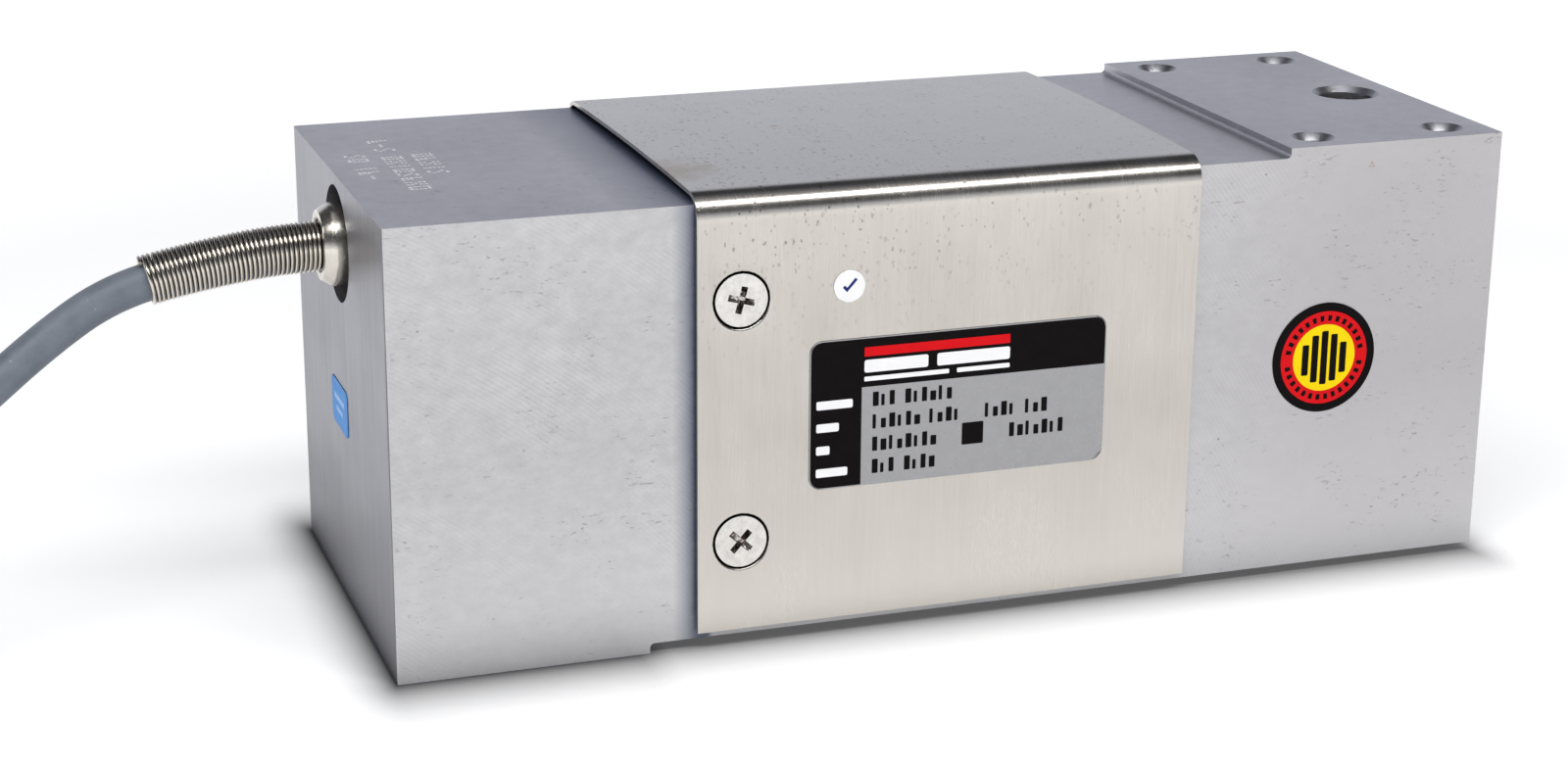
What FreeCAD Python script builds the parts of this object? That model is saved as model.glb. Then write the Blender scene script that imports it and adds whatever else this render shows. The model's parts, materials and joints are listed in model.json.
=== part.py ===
import FreeCAD, Part
import math
import os

# Single point load cell: a milled aluminium beam with a bonded-gauge bridge on its
# relieved top face, a folded stainless cover, and a cable that leaves one end through a
# gland with a bend-protection spring.
#
# Millimetres. X runs along the beam from the fixed end to the live end, +Z is up, and the
# origin is under the middle of the beam, level with the face of the fixed-end pad.

V = FreeCAD.Vector
X_AXIS = V(1, 0, 0)
Y_AXIS = V(0, 1, 0)
Z_AXIS = V(0, 0, 1)
ORIGIN = V(0, 0, 0)

# ---- beam -----------------------------------------------------------------------------
beam_length = 200.0
beam_width = 76.0
beam_height = 75.0            # between the two relieved faces
pad_rise = 1.75               # how far each mounting pad stands proud of its relieved face
fixed_pad_length = 43.0
live_pad_length = 41.7
pad_corner_radius = 0.8       # cutter radius left at the foot of each pad
beam_edge_radius = 0.5

# ---- flexure window -------------------------------------------------------------------
screw_to_window = 6.0         # cover screws' axes to the window's fixed-end wall
flexure_spacing = 46.0
flexure_radius = 9.0
flexure_web = 2.6             # metal left over each lobe, where the beam bends
link_depth = 17.5             # metal left between the two flexures, above and below
wire_hole_bore = 5.0          # from the gauged face down into the window

# ---- mounting holes -------------------------------------------------------------------
mount_drill = 5.0             # tapping drill for M6
mount_mouth = 7.6
mount_depth = 16.0
mount_end_gap = 8.2           # beam end to the outer row
mount_pitch_along = 25.6
mount_side_gap = 7.0          # beam's sides to the holes
locating_bore = 10.3
locating_mouth = 12.3
locating_depth = 20.0
locating_end_gap = 10.1
drill_point_angle = 118.0

# ---- cover ----------------------------------------------------------------------------
cover_sheet = 0.8
cover_start = 50.9            # from the fixed end
cover_length = 89.8
cover_side_gap = 0.7          # between the beam's sides and the cover
cover_top_gap = 1.25          # over the gauged face, at the bends
cover_crown = 0.5             # extra rise in the middle of the top
cover_bend_radius = 3.0       # outside the sheet
cover_skirt_gap = 1.3         # beam's underside to the cover's lower edges
cover_screw_inset = 7.6       # cover's fixed-end edge to the screws
cover_screw_lift = 0.35       # middle of each pair, above the beam's mid height
cover_screw_pitch = 41.8
dimple_flare = 0.7            # rounded edge of the pressed seat, outside the screw's head
dimple_depth = 2.2            # panel's face to the underside of the seat
dimple_clearance = 0.1        # seat in the beam's recess

# ---- cover screws: countersunk, set in the cover's dimples --------------------------------
screw_tap = 4.2               # M5, drawn at its tapping diameter
screw_reach = 12.0            # panel's face to the screw's tip
screw_hole_spare = 2.5
screw_head = 9.0
screw_head_sink = 0.12        # head's face below the panel's face
screw_head_rim = 0.25         # upright edge of the head
screw_relief = 0.35           # beam's hole round the end of the head's cone
recess_span = 4.7
recess_slot = 1.1
recess_depth = 1.7

# ---- labels ---------------------------------------------------------------------------
label_sheet = 0.15
rating_label_length = 53.6
rating_label_height = 25.9
rating_label_from_end = 70.3
rating_label_base = 26.4
rating_label_corner = 2.2
dot_label_size = 5.5
dot_label_from_end = 77.1
dot_label_height = 61.4
round_label_size = 20.0
round_label_from_end = 33.0   # from the live end
round_label_height = 40.2
end_label_width = 13.4
end_label_height = 8.2
end_label_offset = 2.6
end_label_base = 31.2
end_label_corner = 1.4

# ---- cable ----------------------------------------------------------------------------
cable_size = 6.4
jacket_wall = 0.75
core_size = 1.3
core_count = 6

# ---- cable entry ----------------------------------------------------------------------
entry_drop = 12.0             # gauged face to the middle of the cable entry
entry_bore = 12.0             # the gland's thread
entry_bore_depth = 13.0
entry_counterbore_depth = 14.0
spanner_room = 0.76           # counterbore round the corners of the gland's flange
channel_room = 1.05           # wire channel round the cable's cores
gasket_border = 2.5           # gasket beyond the thread
gasket_thickness = 1.0
gland_flange_border = 2.0     # hexagon's flats beyond the thread
gland_flange_thickness = 4.0
gland_shank_length = 10.0
gland_spigot_wall = 0.6
gland_spigot_length = 6.6
gland_seat_floor = 1.4        # metal left under the seal
gland_throat_clearance = 0.25
seal_wall = 1.5
nut_wall = 1.75
nut_nose_step = 1.0           # nose smaller than the nut's barrel, all round
nut_nose_length = 1.9
nut_reach = 3.2               # nut's nose beyond the beam's end
nut_gap = 0.4                 # between nut and flange
nut_web = 1.0                 # ring inside the nut that squeezes the seal

# ---- bend-protection spring -------------------------------------------------------------
spring_clearance = 0.375      # round the cable
spring_wire = 0.75
spring_seat_clearance = 0.15
spring_seat_depth = 3.3
spring_reach = 34.0           # tip beyond the beam's end

# ---- cable route: chosen points ---------------------------------------------------------
# The first list is measured from the middle of the cable entry, at the beam's end.
from_entry = [
    V(7.0, 0.0, 0.0),
    V(-8.0, 0.0, 0.0),
    V(-23.0, 0.0, -2.1),
    V(-37.5, 0.0, -5.2),
    V(-49.0, -1.0, -12.2),
]
# The second is measured from where the cable lies down on the coil's top turn.
to_coil = [
    V(57.0, 27.4, 20.8),
    V(40.0, 15.4, 11.8),
    V(22.0, 4.4, 5.0),
    V(0.0, 0.0, 0.0),
]
# The third is measured from where it leaves the coil's lowest turn.
from_coil = [
    V(0.0, 0.0, 0.0),
    V(-18.0, 0.4, 0.0),
    V(-36.0, 6.4, 0.0),
]
# The last two points carry the end sleeve, so they are higher by its wall.
at_sleeve = [
    V(-50.0, 20.4, 0.0),
    V(-55.0, 38.4, 0.0),
]
bend_share = 0.45             # how much of the shorter run each bend takes up

# ---- coil and its tie -------------------------------------------------------------------
coil_reach = 120.0            # beam's end to the coil's middle
coil_offset = 8.0
coil_middle_radius = 36.0
coil_tracks = 3               # turns side by side
coil_layers = 4
coil_corner = 1.8             # flat that the outer turns leave at each corner
tie_angle = 150.0
tie_width = 3.6
tie_thickness = 1.2
tie_head_width = 6.0
tie_head_reach = 4.6
tie_head_height = 5.4

# ---- cable end ------------------------------------------------------------------------
sleeve_length = 16.0
sleeve_wall = 0.5
sleeve_overlap = 9.0          # over the jacket
lead_straight = 10.0          # end of the jacket to where the leads part
lead_spread = 31.0            # end of the jacket to where they lie on the floor
lead_spread_step = 3.6        # sideways step between neighbouring leads there
lead_reach = 52.0
lead_fan = 6.5                # sideways step between neighbouring lead ends
lead_turn = 15.0              # cores' places round the cable, from level
tip_size = 0.9
tip_length = 6.0
lead_names = ["lead_red", "lead_black", "lead_green", "lead_white", "lead_blue", "lead_brown"]

# ---- bridge ---------------------------------------------------------------------------
gauge_length = 9.0
gauge_width = 6.0
gauge_thickness = 0.12
gauge_offset = 9.0            # either side of the beam's centre line
terminal_length = 3.0
terminal_width = 5.0
terminal_thickness = 0.35
terminal_gap = 1.5
coating_height = 0.8
coating_border = 2.0
coating_corner = 2.0
gauge_wire = 0.7
gauge_wire_gather = 0.9       # wires either side of the wire hole's axis
board_width = 36.0
board_height = 26.0
board_thickness = 1.6
board_drop = 28.75            # cable entry to the board's middle
board_screw_tap = 2.1
board_screw_length = 6.0
board_screw_spare = 1.0
board_screw_head = 4.4
board_screw_head_height = 1.6
board_screw_inset = 4.0
board_spacer_outer = 5.0
board_spacer_length = 3.0
board_clearance = 0.2
pad_row_drop = 3.0            # pins to the gauge wires' solder pads
pin_size = 1.3
pin_height = 1.6
pin_pitch = 4.0
pin_row_drop = 3.5            # board's top edge to the pins
resistor_length = 4.6
resistor_height = 3.0
resistor_thickness = 1.4
resistor_gap = 0.9
resistor_count = 4
resistor_lift = 2.0           # above the board's middle
core_straight = 4.0           # cores run on past the window's wall
core_lane = 3.0               # cores in front of the pins
core_turn = 13.0              # above the pins, where the cores turn down
potting_length = 8.0

# ---- worked out from the sizes above ------------------------------------------------------
low_z = pad_rise
top_z = pad_rise + beam_height
pad_z = top_z + pad_rise
mid_z = low_z + beam_height / 2
fixed_x = -beam_length / 2
live_x = beam_length / 2
front_y = -beam_width / 2
back_y = beam_width / 2
cover_x = fixed_x + cover_start
cover_screw_x = cover_x + cover_screw_inset
window_wall_x = cover_screw_x + screw_to_window
flexure_x = [window_wall_x + flexure_radius, window_wall_x + flexure_radius + flexure_spacing]
window_x = (flexure_x[0] + flexure_x[1]) / 2
lobe_z = beam_height / 2 - flexure_web - flexure_radius
link_z = top_z - link_depth
entry_z = top_z - entry_drop
bore_x = fixed_x + entry_counterbore_depth
channel_x = bore_x + entry_bore_depth
mount_y = back_y - mount_side_gap
cover_face_y = front_y - cover_side_gap - cover_sheet
cover_bottom_z = low_z + cover_skirt_gap
cover_shoulder_z = top_z + cover_top_gap + cover_sheet
screw_z = [mid_z + cover_screw_lift - cover_screw_pitch / 2,
           mid_z + cover_screw_lift + cover_screw_pitch / 2]
dimple_mouth = screw_head + 2 * dimple_flare
coil_half_width = coil_tracks * cable_size / 2
coil_height = coil_layers * cable_size
coil_inner_radius = coil_middle_radius - coil_half_width
coil_outer_radius = coil_middle_radius + coil_half_width
coil_centre = V(fixed_x - coil_reach, coil_offset, 0)
gasket_x = bore_x - gasket_thickness
flange_x = gasket_x - gland_flange_thickness
spigot_x = flange_x - gland_spigot_length
core_ring = cable_size / 2 - jacket_wall - core_size / 2
wire_channel = 2 * core_ring + core_size + 2 * channel_room
gland_throat = cable_size + 2 * gland_throat_clearance
gland_seat = cable_size + 2 * seal_wall
gland_spigot = gland_seat + 2 * gland_spigot_wall
gland_flange = entry_bore + 2 * gland_flange_border
flange_corner = gland_flange / math.sqrt(3)
entry_counterbore = 2 * flange_corner + 2 * spanner_room
nut_size = gland_spigot + 2 * nut_wall
nut_nose = nut_size - 2 * nut_nose_step
spring_size = cable_size + 2 * spring_clearance + 2 * spring_wire
nose_x = fixed_x - nut_reach
seat_end_x = nose_x + spring_seat_depth
seat_floor_x = flange_x + gland_seat_floor
web_x = seat_end_x + nut_web
board_face_x = window_wall_x + board_spacer_length + board_thickness
board_z = entry_z - board_drop
pin_z = board_z + board_height / 2 - pin_row_drop
entry = V(fixed_x, 0, entry_z)
top_turn = coil_centre + V(0, cable_size / 2 - coil_outer_radius, coil_height - cable_size / 2)
low_turn = coil_centre + V(0, cable_size / 2 - coil_outer_radius, cable_size / 2)
cable_route = [entry + p for p in from_entry] + [top_turn + p for p in to_coil]
tail_route = [low_turn + p for p in from_coil]
tail_route += [low_turn + p + V(0, 0, sleeve_wall) for p in at_sleeve]


# ---- small builders ---------------------------------------------------------------------
def block(x0, x1, y0, y1, z0, z1):
    return Part.makeBox(x1 - x0, y1 - y0, z1 - z0, V(x0, y0, z0))


def rod(size, length, start, along):
    return Part.makeCylinder(size / 2, length, start, along)


def tube(outer, inner, length, start, along):
    return rod(outer, length, start, along).cut(rod(inner, length, start, along))


def edges_near(shape, test):
    """The straight edges whose middle point passes a test."""
    found = []
    for edge in shape.Edges:
        if len(edge.Vertexes) == 2 and test(edge.CenterOfMass, edge):
            found.append(edge)
    return found


def drilled(size, mouth, depth, start, along):
    """A drilled and countersunk hole, as the solid to cut away."""
    point = size / 2 / math.tan(math.radians(drill_point_angle / 2))
    flare = (mouth - size) / 2
    hole = rod(size, depth, start, along)
    tip = Part.makeCone(size / 2, 0, point, start + along * depth, along)
    sink = Part.makeCone(mouth / 2, size / 2, flare, start, along)
    return hole.fuse([tip, sink])


def turned(outline):
    """Revolve an outline of (radius, height) points about the Z axis."""
    corners = [V(radius, 0, height) for radius, height in outline]
    face = Part.Face(Part.makePolygon(corners + corners[:1]))
    return face.revolve(ORIGIN, Z_AXIS, 360)


def round_plate(length, height, corner, thickness):
    """A rounded rectangle in the XY plane, centred on the origin, thickened along +Z."""
    plate = block(-length / 2, length / 2, -height / 2, height / 2, 0, thickness)
    return plate.makeFillet(corner, edges_near(plate, lambda c, e: abs(c.z - thickness / 2) < 1e-6))


def facing(shape, place, out, up):
    """Turn a flat piece so that its +Z faces out and its +Y points up, and set it in place."""
    across = up.cross(out)
    matrix = FreeCAD.Matrix(across.x, up.x, out.x, place.x,
                            across.y, up.y, out.y, place.y,
                            across.z, up.z, out.z, place.z,
                            0, 0, 0, 1)
    copy = shape.copy()
    copy.Placement = FreeCAD.Placement(matrix).multiply(copy.Placement)
    return copy


# ---- routes: straight runs joined by tangent arcs -----------------------------------------
def corner_arcs(points):
    """One arc for each inner point, as large as the two runs that meet there allow."""
    arcs = []
    for before, corner, after in zip(points, points[1:], points[2:]):
        back = before - corner
        ahead = after - corner
        take = bend_share * min(back.Length, ahead.Length)
        back.normalize()
        ahead.normalize()
        half_turn = (math.pi - back.getAngle(ahead)) / 2
        radius = take / math.tan(half_turn)
        inward = back + ahead
        inward.normalize()
        crest = corner + inward * (radius / math.cos(half_turn) - radius)
        arcs.append((Part.Arc(corner + back * take, crest, corner + ahead * take), radius))
    return arcs


def path_through(start, arcs, end):
    """A wire from start, through the arcs, to end."""
    edges = []
    at = start
    for arc, radius in arcs:
        edges.append(Part.LineSegment(at, arc.StartPoint).toShape())
        edges.append(arc.toShape())
        at = arc.EndPoint
    edges.append(Part.LineSegment(at, end).toShape())
    return Part.Wire(edges)


def route(points):
    return path_through(points[0], corner_arcs(points), points[-1])


def start_ring(size, path):
    start = path.Edges[0]
    return Part.Wire(Part.makeCircle(size / 2, start.valueAt(start.FirstParameter),
                                     start.tangentAt(start.FirstParameter)))


def swept(size, path):
    """A round bar of the given size along a path of runs and tangent arcs."""
    return path.makePipeShell([start_ring(size, path)], True, False)


def thin_wire(size, points):
    """A thin wire along straight runs, mitred where they meet."""
    path = Part.makePolygon(points)
    mitred = 1
    return path.makePipeShell([start_ring(size, path)], True, False, mitred)


# ---- beam -----------------------------------------------------------------------------
def flexure_window():
    """Two upright slots with round ends, joined across the middle, right through the beam."""
    deep = beam_width + 2
    start_y = front_y - 1
    cut = block(flexure_x[0], flexure_x[1], start_y, start_y + deep,
                low_z + link_depth, top_z - link_depth)
    for x in flexure_x:
        cut = cut.fuse(block(x - flexure_radius, x + flexure_radius, start_y, start_y + deep,
                             mid_z - lobe_z, mid_z + lobe_z))
        for z in (mid_z - lobe_z, mid_z + lobe_z):
            cut = cut.fuse(rod(2 * flexure_radius, deep, V(x, start_y, z), Y_AXIS))
    return cut.removeSplitter()


def mount_holes():
    """Four tapped holes in each pad: the live end from above, the fixed end from below."""
    holes = []
    for row in (mount_end_gap, mount_end_gap + mount_pitch_along):
        for y in (-mount_y, mount_y):
            holes.append(drilled(mount_drill, mount_mouth, mount_depth,
                                 V(live_x - row, y, pad_z), -Z_AXIS))
            holes.append(drilled(mount_drill, mount_mouth, mount_depth,
                                 V(fixed_x + row, y, 0), Z_AXIS))
    return holes


def cable_entry():
    """Counterbore, gland bore and the drilled way through to the window."""
    at = V(fixed_x, 0, entry_z)
    way = rod(wire_channel, window_wall_x - fixed_x + 1, at, X_AXIS)
    bore = rod(entry_bore, entry_counterbore_depth + entry_bore_depth, at, X_AXIS)
    return [way, bore, rod(entry_counterbore, entry_counterbore_depth, at, X_AXIS)]


def cover_screw_places():
    """Where each cover screw's axis crosses the panel's face, and the way its head faces."""
    places = []
    for y, out in ((cover_face_y, -Y_AXIS), (-cover_face_y, Y_AXIS)):
        for z in screw_z:
            places.append((V(cover_screw_x, y, z), out))
    return places


def head_radius(depth):
    """Radius of the screw's 90 degree head at a depth below the panel's face."""
    return screw_head / 2 - (depth - screw_head_sink - screw_head_rim)


def dimple_radius(depth):
    """Radius of the back of the dimple's sloping wall, one sheet outside the screw's head."""
    return head_radius(depth) + cover_sheet * math.sqrt(2)


def screw_hole():
    """Recess for the dimple, relief for the head's cone, and the tapped hole."""
    relief = head_radius(dimple_depth) + screw_relief
    cone_end = screw_head_sink + screw_head_rim + screw_head / 2 - screw_tap / 2
    return turned([(0, 0),
                   (dimple_radius(0) + dimple_clearance, 0),
                   (dimple_radius(dimple_depth) + dimple_clearance, -dimple_depth),
                   (relief, -dimple_depth),
                   (relief, -cone_end),
                   (screw_tap / 2, -cone_end),
                   (screw_tap / 2, -screw_reach - screw_hole_spare),
                   (0, -screw_reach - screw_hole_spare - screw_tap / 4)])


def board_screw_places():
    places = []
    for y in (-board_width / 2 + board_screw_inset, board_width / 2 - board_screw_inset):
        places.append(V(window_wall_x, y, board_z))
    return places


def beam_body():
    body = block(fixed_x, live_x, front_y, back_y, low_z, top_z)
    body = body.fuse(block(fixed_x, fixed_x + fixed_pad_length, front_y, back_y, 0, low_z))
    body = body.fuse(block(live_x - live_pad_length, live_x, front_y, back_y, top_z, pad_z))
    body = body.removeSplitter()
    feet = edges_near(body, lambda c, e: (abs(c.x - fixed_x - fixed_pad_length) < 1e-6
                                          and abs(c.z - low_z) < 1e-6)
                      or (abs(c.x - live_x + live_pad_length) < 1e-6 and abs(c.z - top_z) < 1e-6))
    body = body.makeFillet(pad_corner_radius, feet)
    uprights = edges_near(body, lambda c, e: abs(abs(c.x) - live_x) < 1e-6
                          and abs(abs(c.y) - back_y) < 1e-6)
    body = body.makeFillet(beam_edge_radius, uprights)
    body = body.cut(flexure_window())
    cuts = mount_holes() + cable_entry()
    cuts.append(drilled(locating_bore, locating_mouth, locating_depth,
                        V(live_x - locating_end_gap, 0, pad_z), -Z_AXIS))
    cuts.append(rod(wire_hole_bore, link_depth + 1, V(window_x, 0, top_z - link_depth - 0.5), Z_AXIS))
    for place, out in cover_screw_places():
        cuts.append(facing(screw_hole(), place, out, Z_AXIS))
    for place in board_screw_places():
        cuts.append(rod(board_screw_tap, board_screw_length + board_screw_spare, place, -X_AXIS))
    return body.cut(cuts)


# ---- cover ----------------------------------------------------------------------------
def loaf(half_width, shoulder_z, bottom_z, radius):
    """A solid with upright sides and a slightly crowned, rounded top, as long as the cover."""
    left = V(cover_x, -half_width, bottom_z)
    left_top = V(cover_x, -half_width, shoulder_z)
    crown = V(cover_x, 0, shoulder_z + cover_crown)
    right_top = V(cover_x, half_width, shoulder_z)
    right = V(cover_x, half_width, bottom_z)
    outline = Part.Wire([Part.LineSegment(left, left_top).toShape(),
                         Part.Arc(left_top, crown, right_top).toShape(),
                         Part.LineSegment(right_top, right).toShape(),
                         Part.LineSegment(right, left).toShape()])
    solid = Part.Face(outline).extrude(V(cover_length, 0, 0))
    bends = edges_near(solid, lambda c, e: abs(c.z - shoulder_z) < 1e-3
                       and abs(abs(c.y) - half_width) < 1e-3)
    return solid.makeFillet(radius, bends)


def wrap_cover():
    """One sheet folded over the beam: front, top and back."""
    half = -cover_face_y
    outside = loaf(half, cover_shoulder_z, cover_bottom_z, cover_bend_radius)
    inside = loaf(half - cover_sheet, cover_shoulder_z - cover_sheet, cover_bottom_z - 1,
                  cover_bend_radius - cover_sheet)
    sheet = outside.cut(inside)
    for place, out in cover_screw_places():
        sheet = sheet.fuse(facing(dimple(), place, out, Z_AXIS))
        sheet = sheet.cut(facing(dimple_mouth_cut(), place, out, Z_AXIS))
    return sheet.removeSplitter()


def dimple():
    """The pressed seat's wall, one sheet thick."""
    return turned([(0, 0),
                   (dimple_radius(cover_sheet) + cover_sheet, 0),
                   (dimple_radius(cover_sheet) + cover_sheet, -cover_sheet),
                   (dimple_radius(cover_sheet), -cover_sheet),
                   (dimple_radius(dimple_depth), -dimple_depth),
                   (0, -dimple_depth)])


def dimple_mouth_cut():
    """What the punch pushes in: a shallow flare, then the cone that the head sits in."""
    rim = screw_head_sink + screw_head_rim
    return turned([(0, 0.01),
                   (dimple_mouth / 2, 0.01),
                   (screw_head / 2, -rim),
                   (head_radius(dimple_depth), -dimple_depth),
                   (head_radius(dimple_depth), -dimple_depth - 1),
                   (0, -dimple_depth - 1)])


def cross_recess(depth):
    """A tapered cross, pointing down from the origin."""
    bars = []
    for angle in (0, 90):
        top = Part.makePolygon([V(-recess_span / 2, -recess_slot / 2, 0.01),
                                V(recess_span / 2, -recess_slot / 2, 0.01),
                                V(recess_span / 2, recess_slot / 2, 0.01),
                                V(-recess_span / 2, recess_slot / 2, 0.01),
                                V(-recess_span / 2, -recess_slot / 2, 0.01)])
        low = Part.makePolygon([V(-recess_span / 4, -recess_slot / 3, -depth),
                                V(recess_span / 4, -recess_slot / 3, -depth),
                                V(recess_span / 4, recess_slot / 3, -depth),
                                V(-recess_span / 4, recess_slot / 3, -depth),
                                V(-recess_span / 4, -recess_slot / 3, -depth)])
        bar = Part.makeLoft([top, low], True, True)
        bar.rotate(ORIGIN, Z_AXIS, angle)
        bars.append(bar)
    return bars[0].fuse(bars[1])


def countersunk_screw(turn):
    """A flat-head cross-recess screw along Z; the panel's face is at z = 0."""
    rim = screw_head_sink + screw_head_rim
    cone_end = rim + screw_head / 2 - screw_tap / 2
    body = turned([(0, -screw_head_sink),
                   (screw_head / 2, -screw_head_sink),
                   (screw_head / 2, -rim),
                   (screw_tap / 2, -cone_end),
                   (screw_tap / 2, -screw_reach),
                   (0, -screw_reach)])
    recess = cross_recess(recess_depth)
    recess.rotate(ORIGIN, Z_AXIS, turn)
    recess.translate(V(0, 0, -screw_head_sink))
    return body.cut(recess)


def cover_screws():
    """Lower front, upper front, lower back, upper back."""
    turns = [48, 75, 52, 20]
    screws = [facing(countersunk_screw(turn), place, out, Z_AXIS)
              for (place, out), turn in zip(cover_screw_places(), turns)]
    return Part.makeCompound(screws)


# ---- labels ---------------------------------------------------------------------------
def rating_label():
    plate = round_plate(rating_label_length, rating_label_height, rating_label_corner, label_sheet)
    place = V(fixed_x + rating_label_from_end + rating_label_length / 2, cover_face_y,
              rating_label_base + rating_label_height / 2)
    return facing(plate, place, -Y_AXIS, Z_AXIS)


def dot_label():
    return rod(dot_label_size, label_sheet,
               V(fixed_x + dot_label_from_end, cover_face_y, dot_label_height), -Y_AXIS)


def round_label():
    return rod(round_label_size, label_sheet,
               V(live_x - round_label_from_end, front_y, round_label_height), -Y_AXIS)


def end_label():
    plate = round_plate(end_label_width, end_label_height, end_label_corner, label_sheet)
    place = V(fixed_x, end_label_offset, end_label_base + end_label_height / 2)
    return facing(plate, place, -X_AXIS, Z_AXIS)


# ---- gland ----------------------------------------------------------------------------
def on_entry(x):
    return V(x, 0, entry_z)


def gland_gasket():
    return tube(entry_bore + 2 * gasket_border, entry_bore, gasket_thickness,
                on_entry(gasket_x), X_AXIS)


def gland_body():
    """Threaded shank, hexagon flange and outer spigot, turned from one bar."""
    corners = [V(flange_x, flange_corner * math.cos(math.radians(a)),
                 entry_z + flange_corner * math.sin(math.radians(a)))
               for a in range(0, 361, 60)]
    flange = Part.Face(Part.makePolygon(corners)).extrude(V(gland_flange_thickness, 0, 0))
    shank = rod(entry_bore, gasket_thickness + gland_shank_length, on_entry(gasket_x), X_AXIS)
    spigot = rod(gland_spigot, gland_spigot_length, on_entry(spigot_x), X_AXIS)
    seat = rod(gland_seat, seat_floor_x - spigot_x, on_entry(spigot_x), X_AXIS)
    throat = rod(gland_throat, channel_x - spigot_x, on_entry(spigot_x), X_AXIS)
    return flange.fuse([shank, spigot]).cut([seat, throat])


def gland_seal():
    """Rubber sleeve squeezed round the cable, between its seat and the nut's web."""
    return tube(gland_seat, cable_size, seat_floor_x - web_x, on_entry(web_x), X_AXIS)


def gland_nut():
    """Nickel-plated nose that holds the spring; its shoulder is turned to a blunt cone."""
    nose = Part.makeCone(nut_nose / 2, nut_size / 2, nut_nose_length, on_entry(nose_x), X_AXIS)
    barrel_x = nose_x + nut_nose_length
    barrel = rod(nut_size, flange_x - nut_gap - barrel_x, on_entry(barrel_x), X_AXIS)
    spring_seat = rod(spring_size + 2 * spring_seat_clearance, spring_seat_depth,
                      on_entry(nose_x), X_AXIS)
    throat = rod(gland_throat, web_x - nose_x, on_entry(nose_x), X_AXIS)
    thread = rod(gland_spigot, flange_x - web_x, on_entry(web_x), X_AXIS)
    return nose.fuse(barrel).cut([spring_seat, throat, thread])


def bend_protector_spring():
    """Close-wound spring, drawn as its sleeve; it follows the cable out of the gland."""
    arcs = corner_arcs(cable_route)[:2]
    heading = arcs[1][0].EndPoint
    along = cable_route[3] - cable_route[2]
    along.normalize()
    left = (heading.x - (fixed_x - spring_reach)) / -along.x
    path = path_through(on_entry(seat_end_x), arcs, heading + along * left)
    return swept(spring_size, path).cut(swept(spring_size - 2 * spring_wire, path))


# ---- cable ----------------------------------------------------------------------------
def bundle(inset, half_width):
    """A short straight length of the wound turns, inset all round, with its corners cut off."""
    length = block(coil_inner_radius + inset, coil_outer_radius - inset,
                   -half_width, half_width, inset, coil_height - inset)
    corner = coil_corner - inset * (2 - math.sqrt(2))
    return length.makeChamfer(corner, edges_near(length, lambda c, e: abs(c.y) < 1e-6))


def at_tie(shape):
    shape.rotate(ORIGIN, Z_AXIS, tie_angle)
    shape.translate(coil_centre)
    return shape


def cable_tie():
    """Flat strap round the coil's bundle, with its ratchet head on the outside."""
    head = block(coil_outer_radius, coil_outer_radius + tie_head_reach,
                 -tie_head_width / 2, tie_head_width / 2,
                 coil_height / 2 - tie_head_height / 2, coil_height / 2 + tie_head_height / 2)
    strap = bundle(0, tie_width / 2).cut(bundle(tie_thickness, tie_width))
    return at_tie(strap.fuse(head))


def cable_coil():
    """The outer form of the wound turns, pinched where the tie goes round."""
    ring = turned([(coil_inner_radius + coil_corner, 0),
                   (coil_outer_radius - coil_corner, 0),
                   (coil_outer_radius, coil_corner),
                   (coil_outer_radius, coil_height - coil_corner),
                   (coil_outer_radius - coil_corner, coil_height),
                   (coil_inner_radius + coil_corner, coil_height),
                   (coil_inner_radius, coil_height - coil_corner),
                   (coil_inner_radius, coil_corner)])
    ring.translate(coil_centre)
    pinch = block(coil_inner_radius - tie_width, coil_outer_radius + tie_width,
                  -tie_width / 2, tie_width / 2, -tie_width, coil_height + tie_width)
    return ring.cut(at_tie(pinch.cut(bundle(tie_thickness, tie_width))))


def outside_coil(tube_solid, coil):
    """The part of a tube that is outside the coil, as one solid."""
    left = tube_solid.cut(coil)
    return max(left.Solids, key=lambda s: s.Volume)


# ---- cable end ------------------------------------------------------------------------
def tail_direction():
    along = tail_route[-1] - tail_route[-2]
    along.normalize()
    return along


def end_sleeve():
    """Shrink sleeve over the end of the jacket and the start of the leads."""
    along = tail_direction()
    start = tail_route[-1] - along * sleeve_overlap
    return tube(cable_size + 2 * sleeve_wall, cable_size, sleeve_length, start, along)


def core_place(number, turn):
    """Across and up from the cable's axis to one of its cores."""
    angle = math.radians(turn) + 2 * math.pi * number / core_count
    return core_ring * math.cos(angle), core_ring * math.sin(angle)


def lead_points(number):
    """A lead's route: out of the jacket, down to the floor, and out into the fan."""
    along = tail_direction()
    side = along.cross(Z_AXIS)
    order = sorted(range(core_count), key=lambda n: core_place(n, lead_turn)[0])
    place = order.index(number) - (core_count - 1) / 2
    across, up = core_place(number, lead_turn)
    start = tail_route[-1] + side * across + Z_AXIS * up
    spread = tail_route[-1] + along * lead_spread + side * (place * lead_spread_step)
    end = tail_route[-1] + along * lead_reach + side * (place * lead_fan)
    spread.z = core_size / 2
    end.z = core_size / 2
    return [start, start + along * lead_straight, spread, end]


def lead(number):
    return thin_wire(core_size, lead_points(number))


def lead_tips():
    """Tinned strands bared at the end of each lead."""
    tips = []
    for number in range(core_count):
        points = lead_points(number)
        along = points[-1] - points[-2]
        along.normalize()
        tips.append(rod(tip_size, tip_length, points[-1], along))
    return Part.makeCompound(tips)


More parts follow.
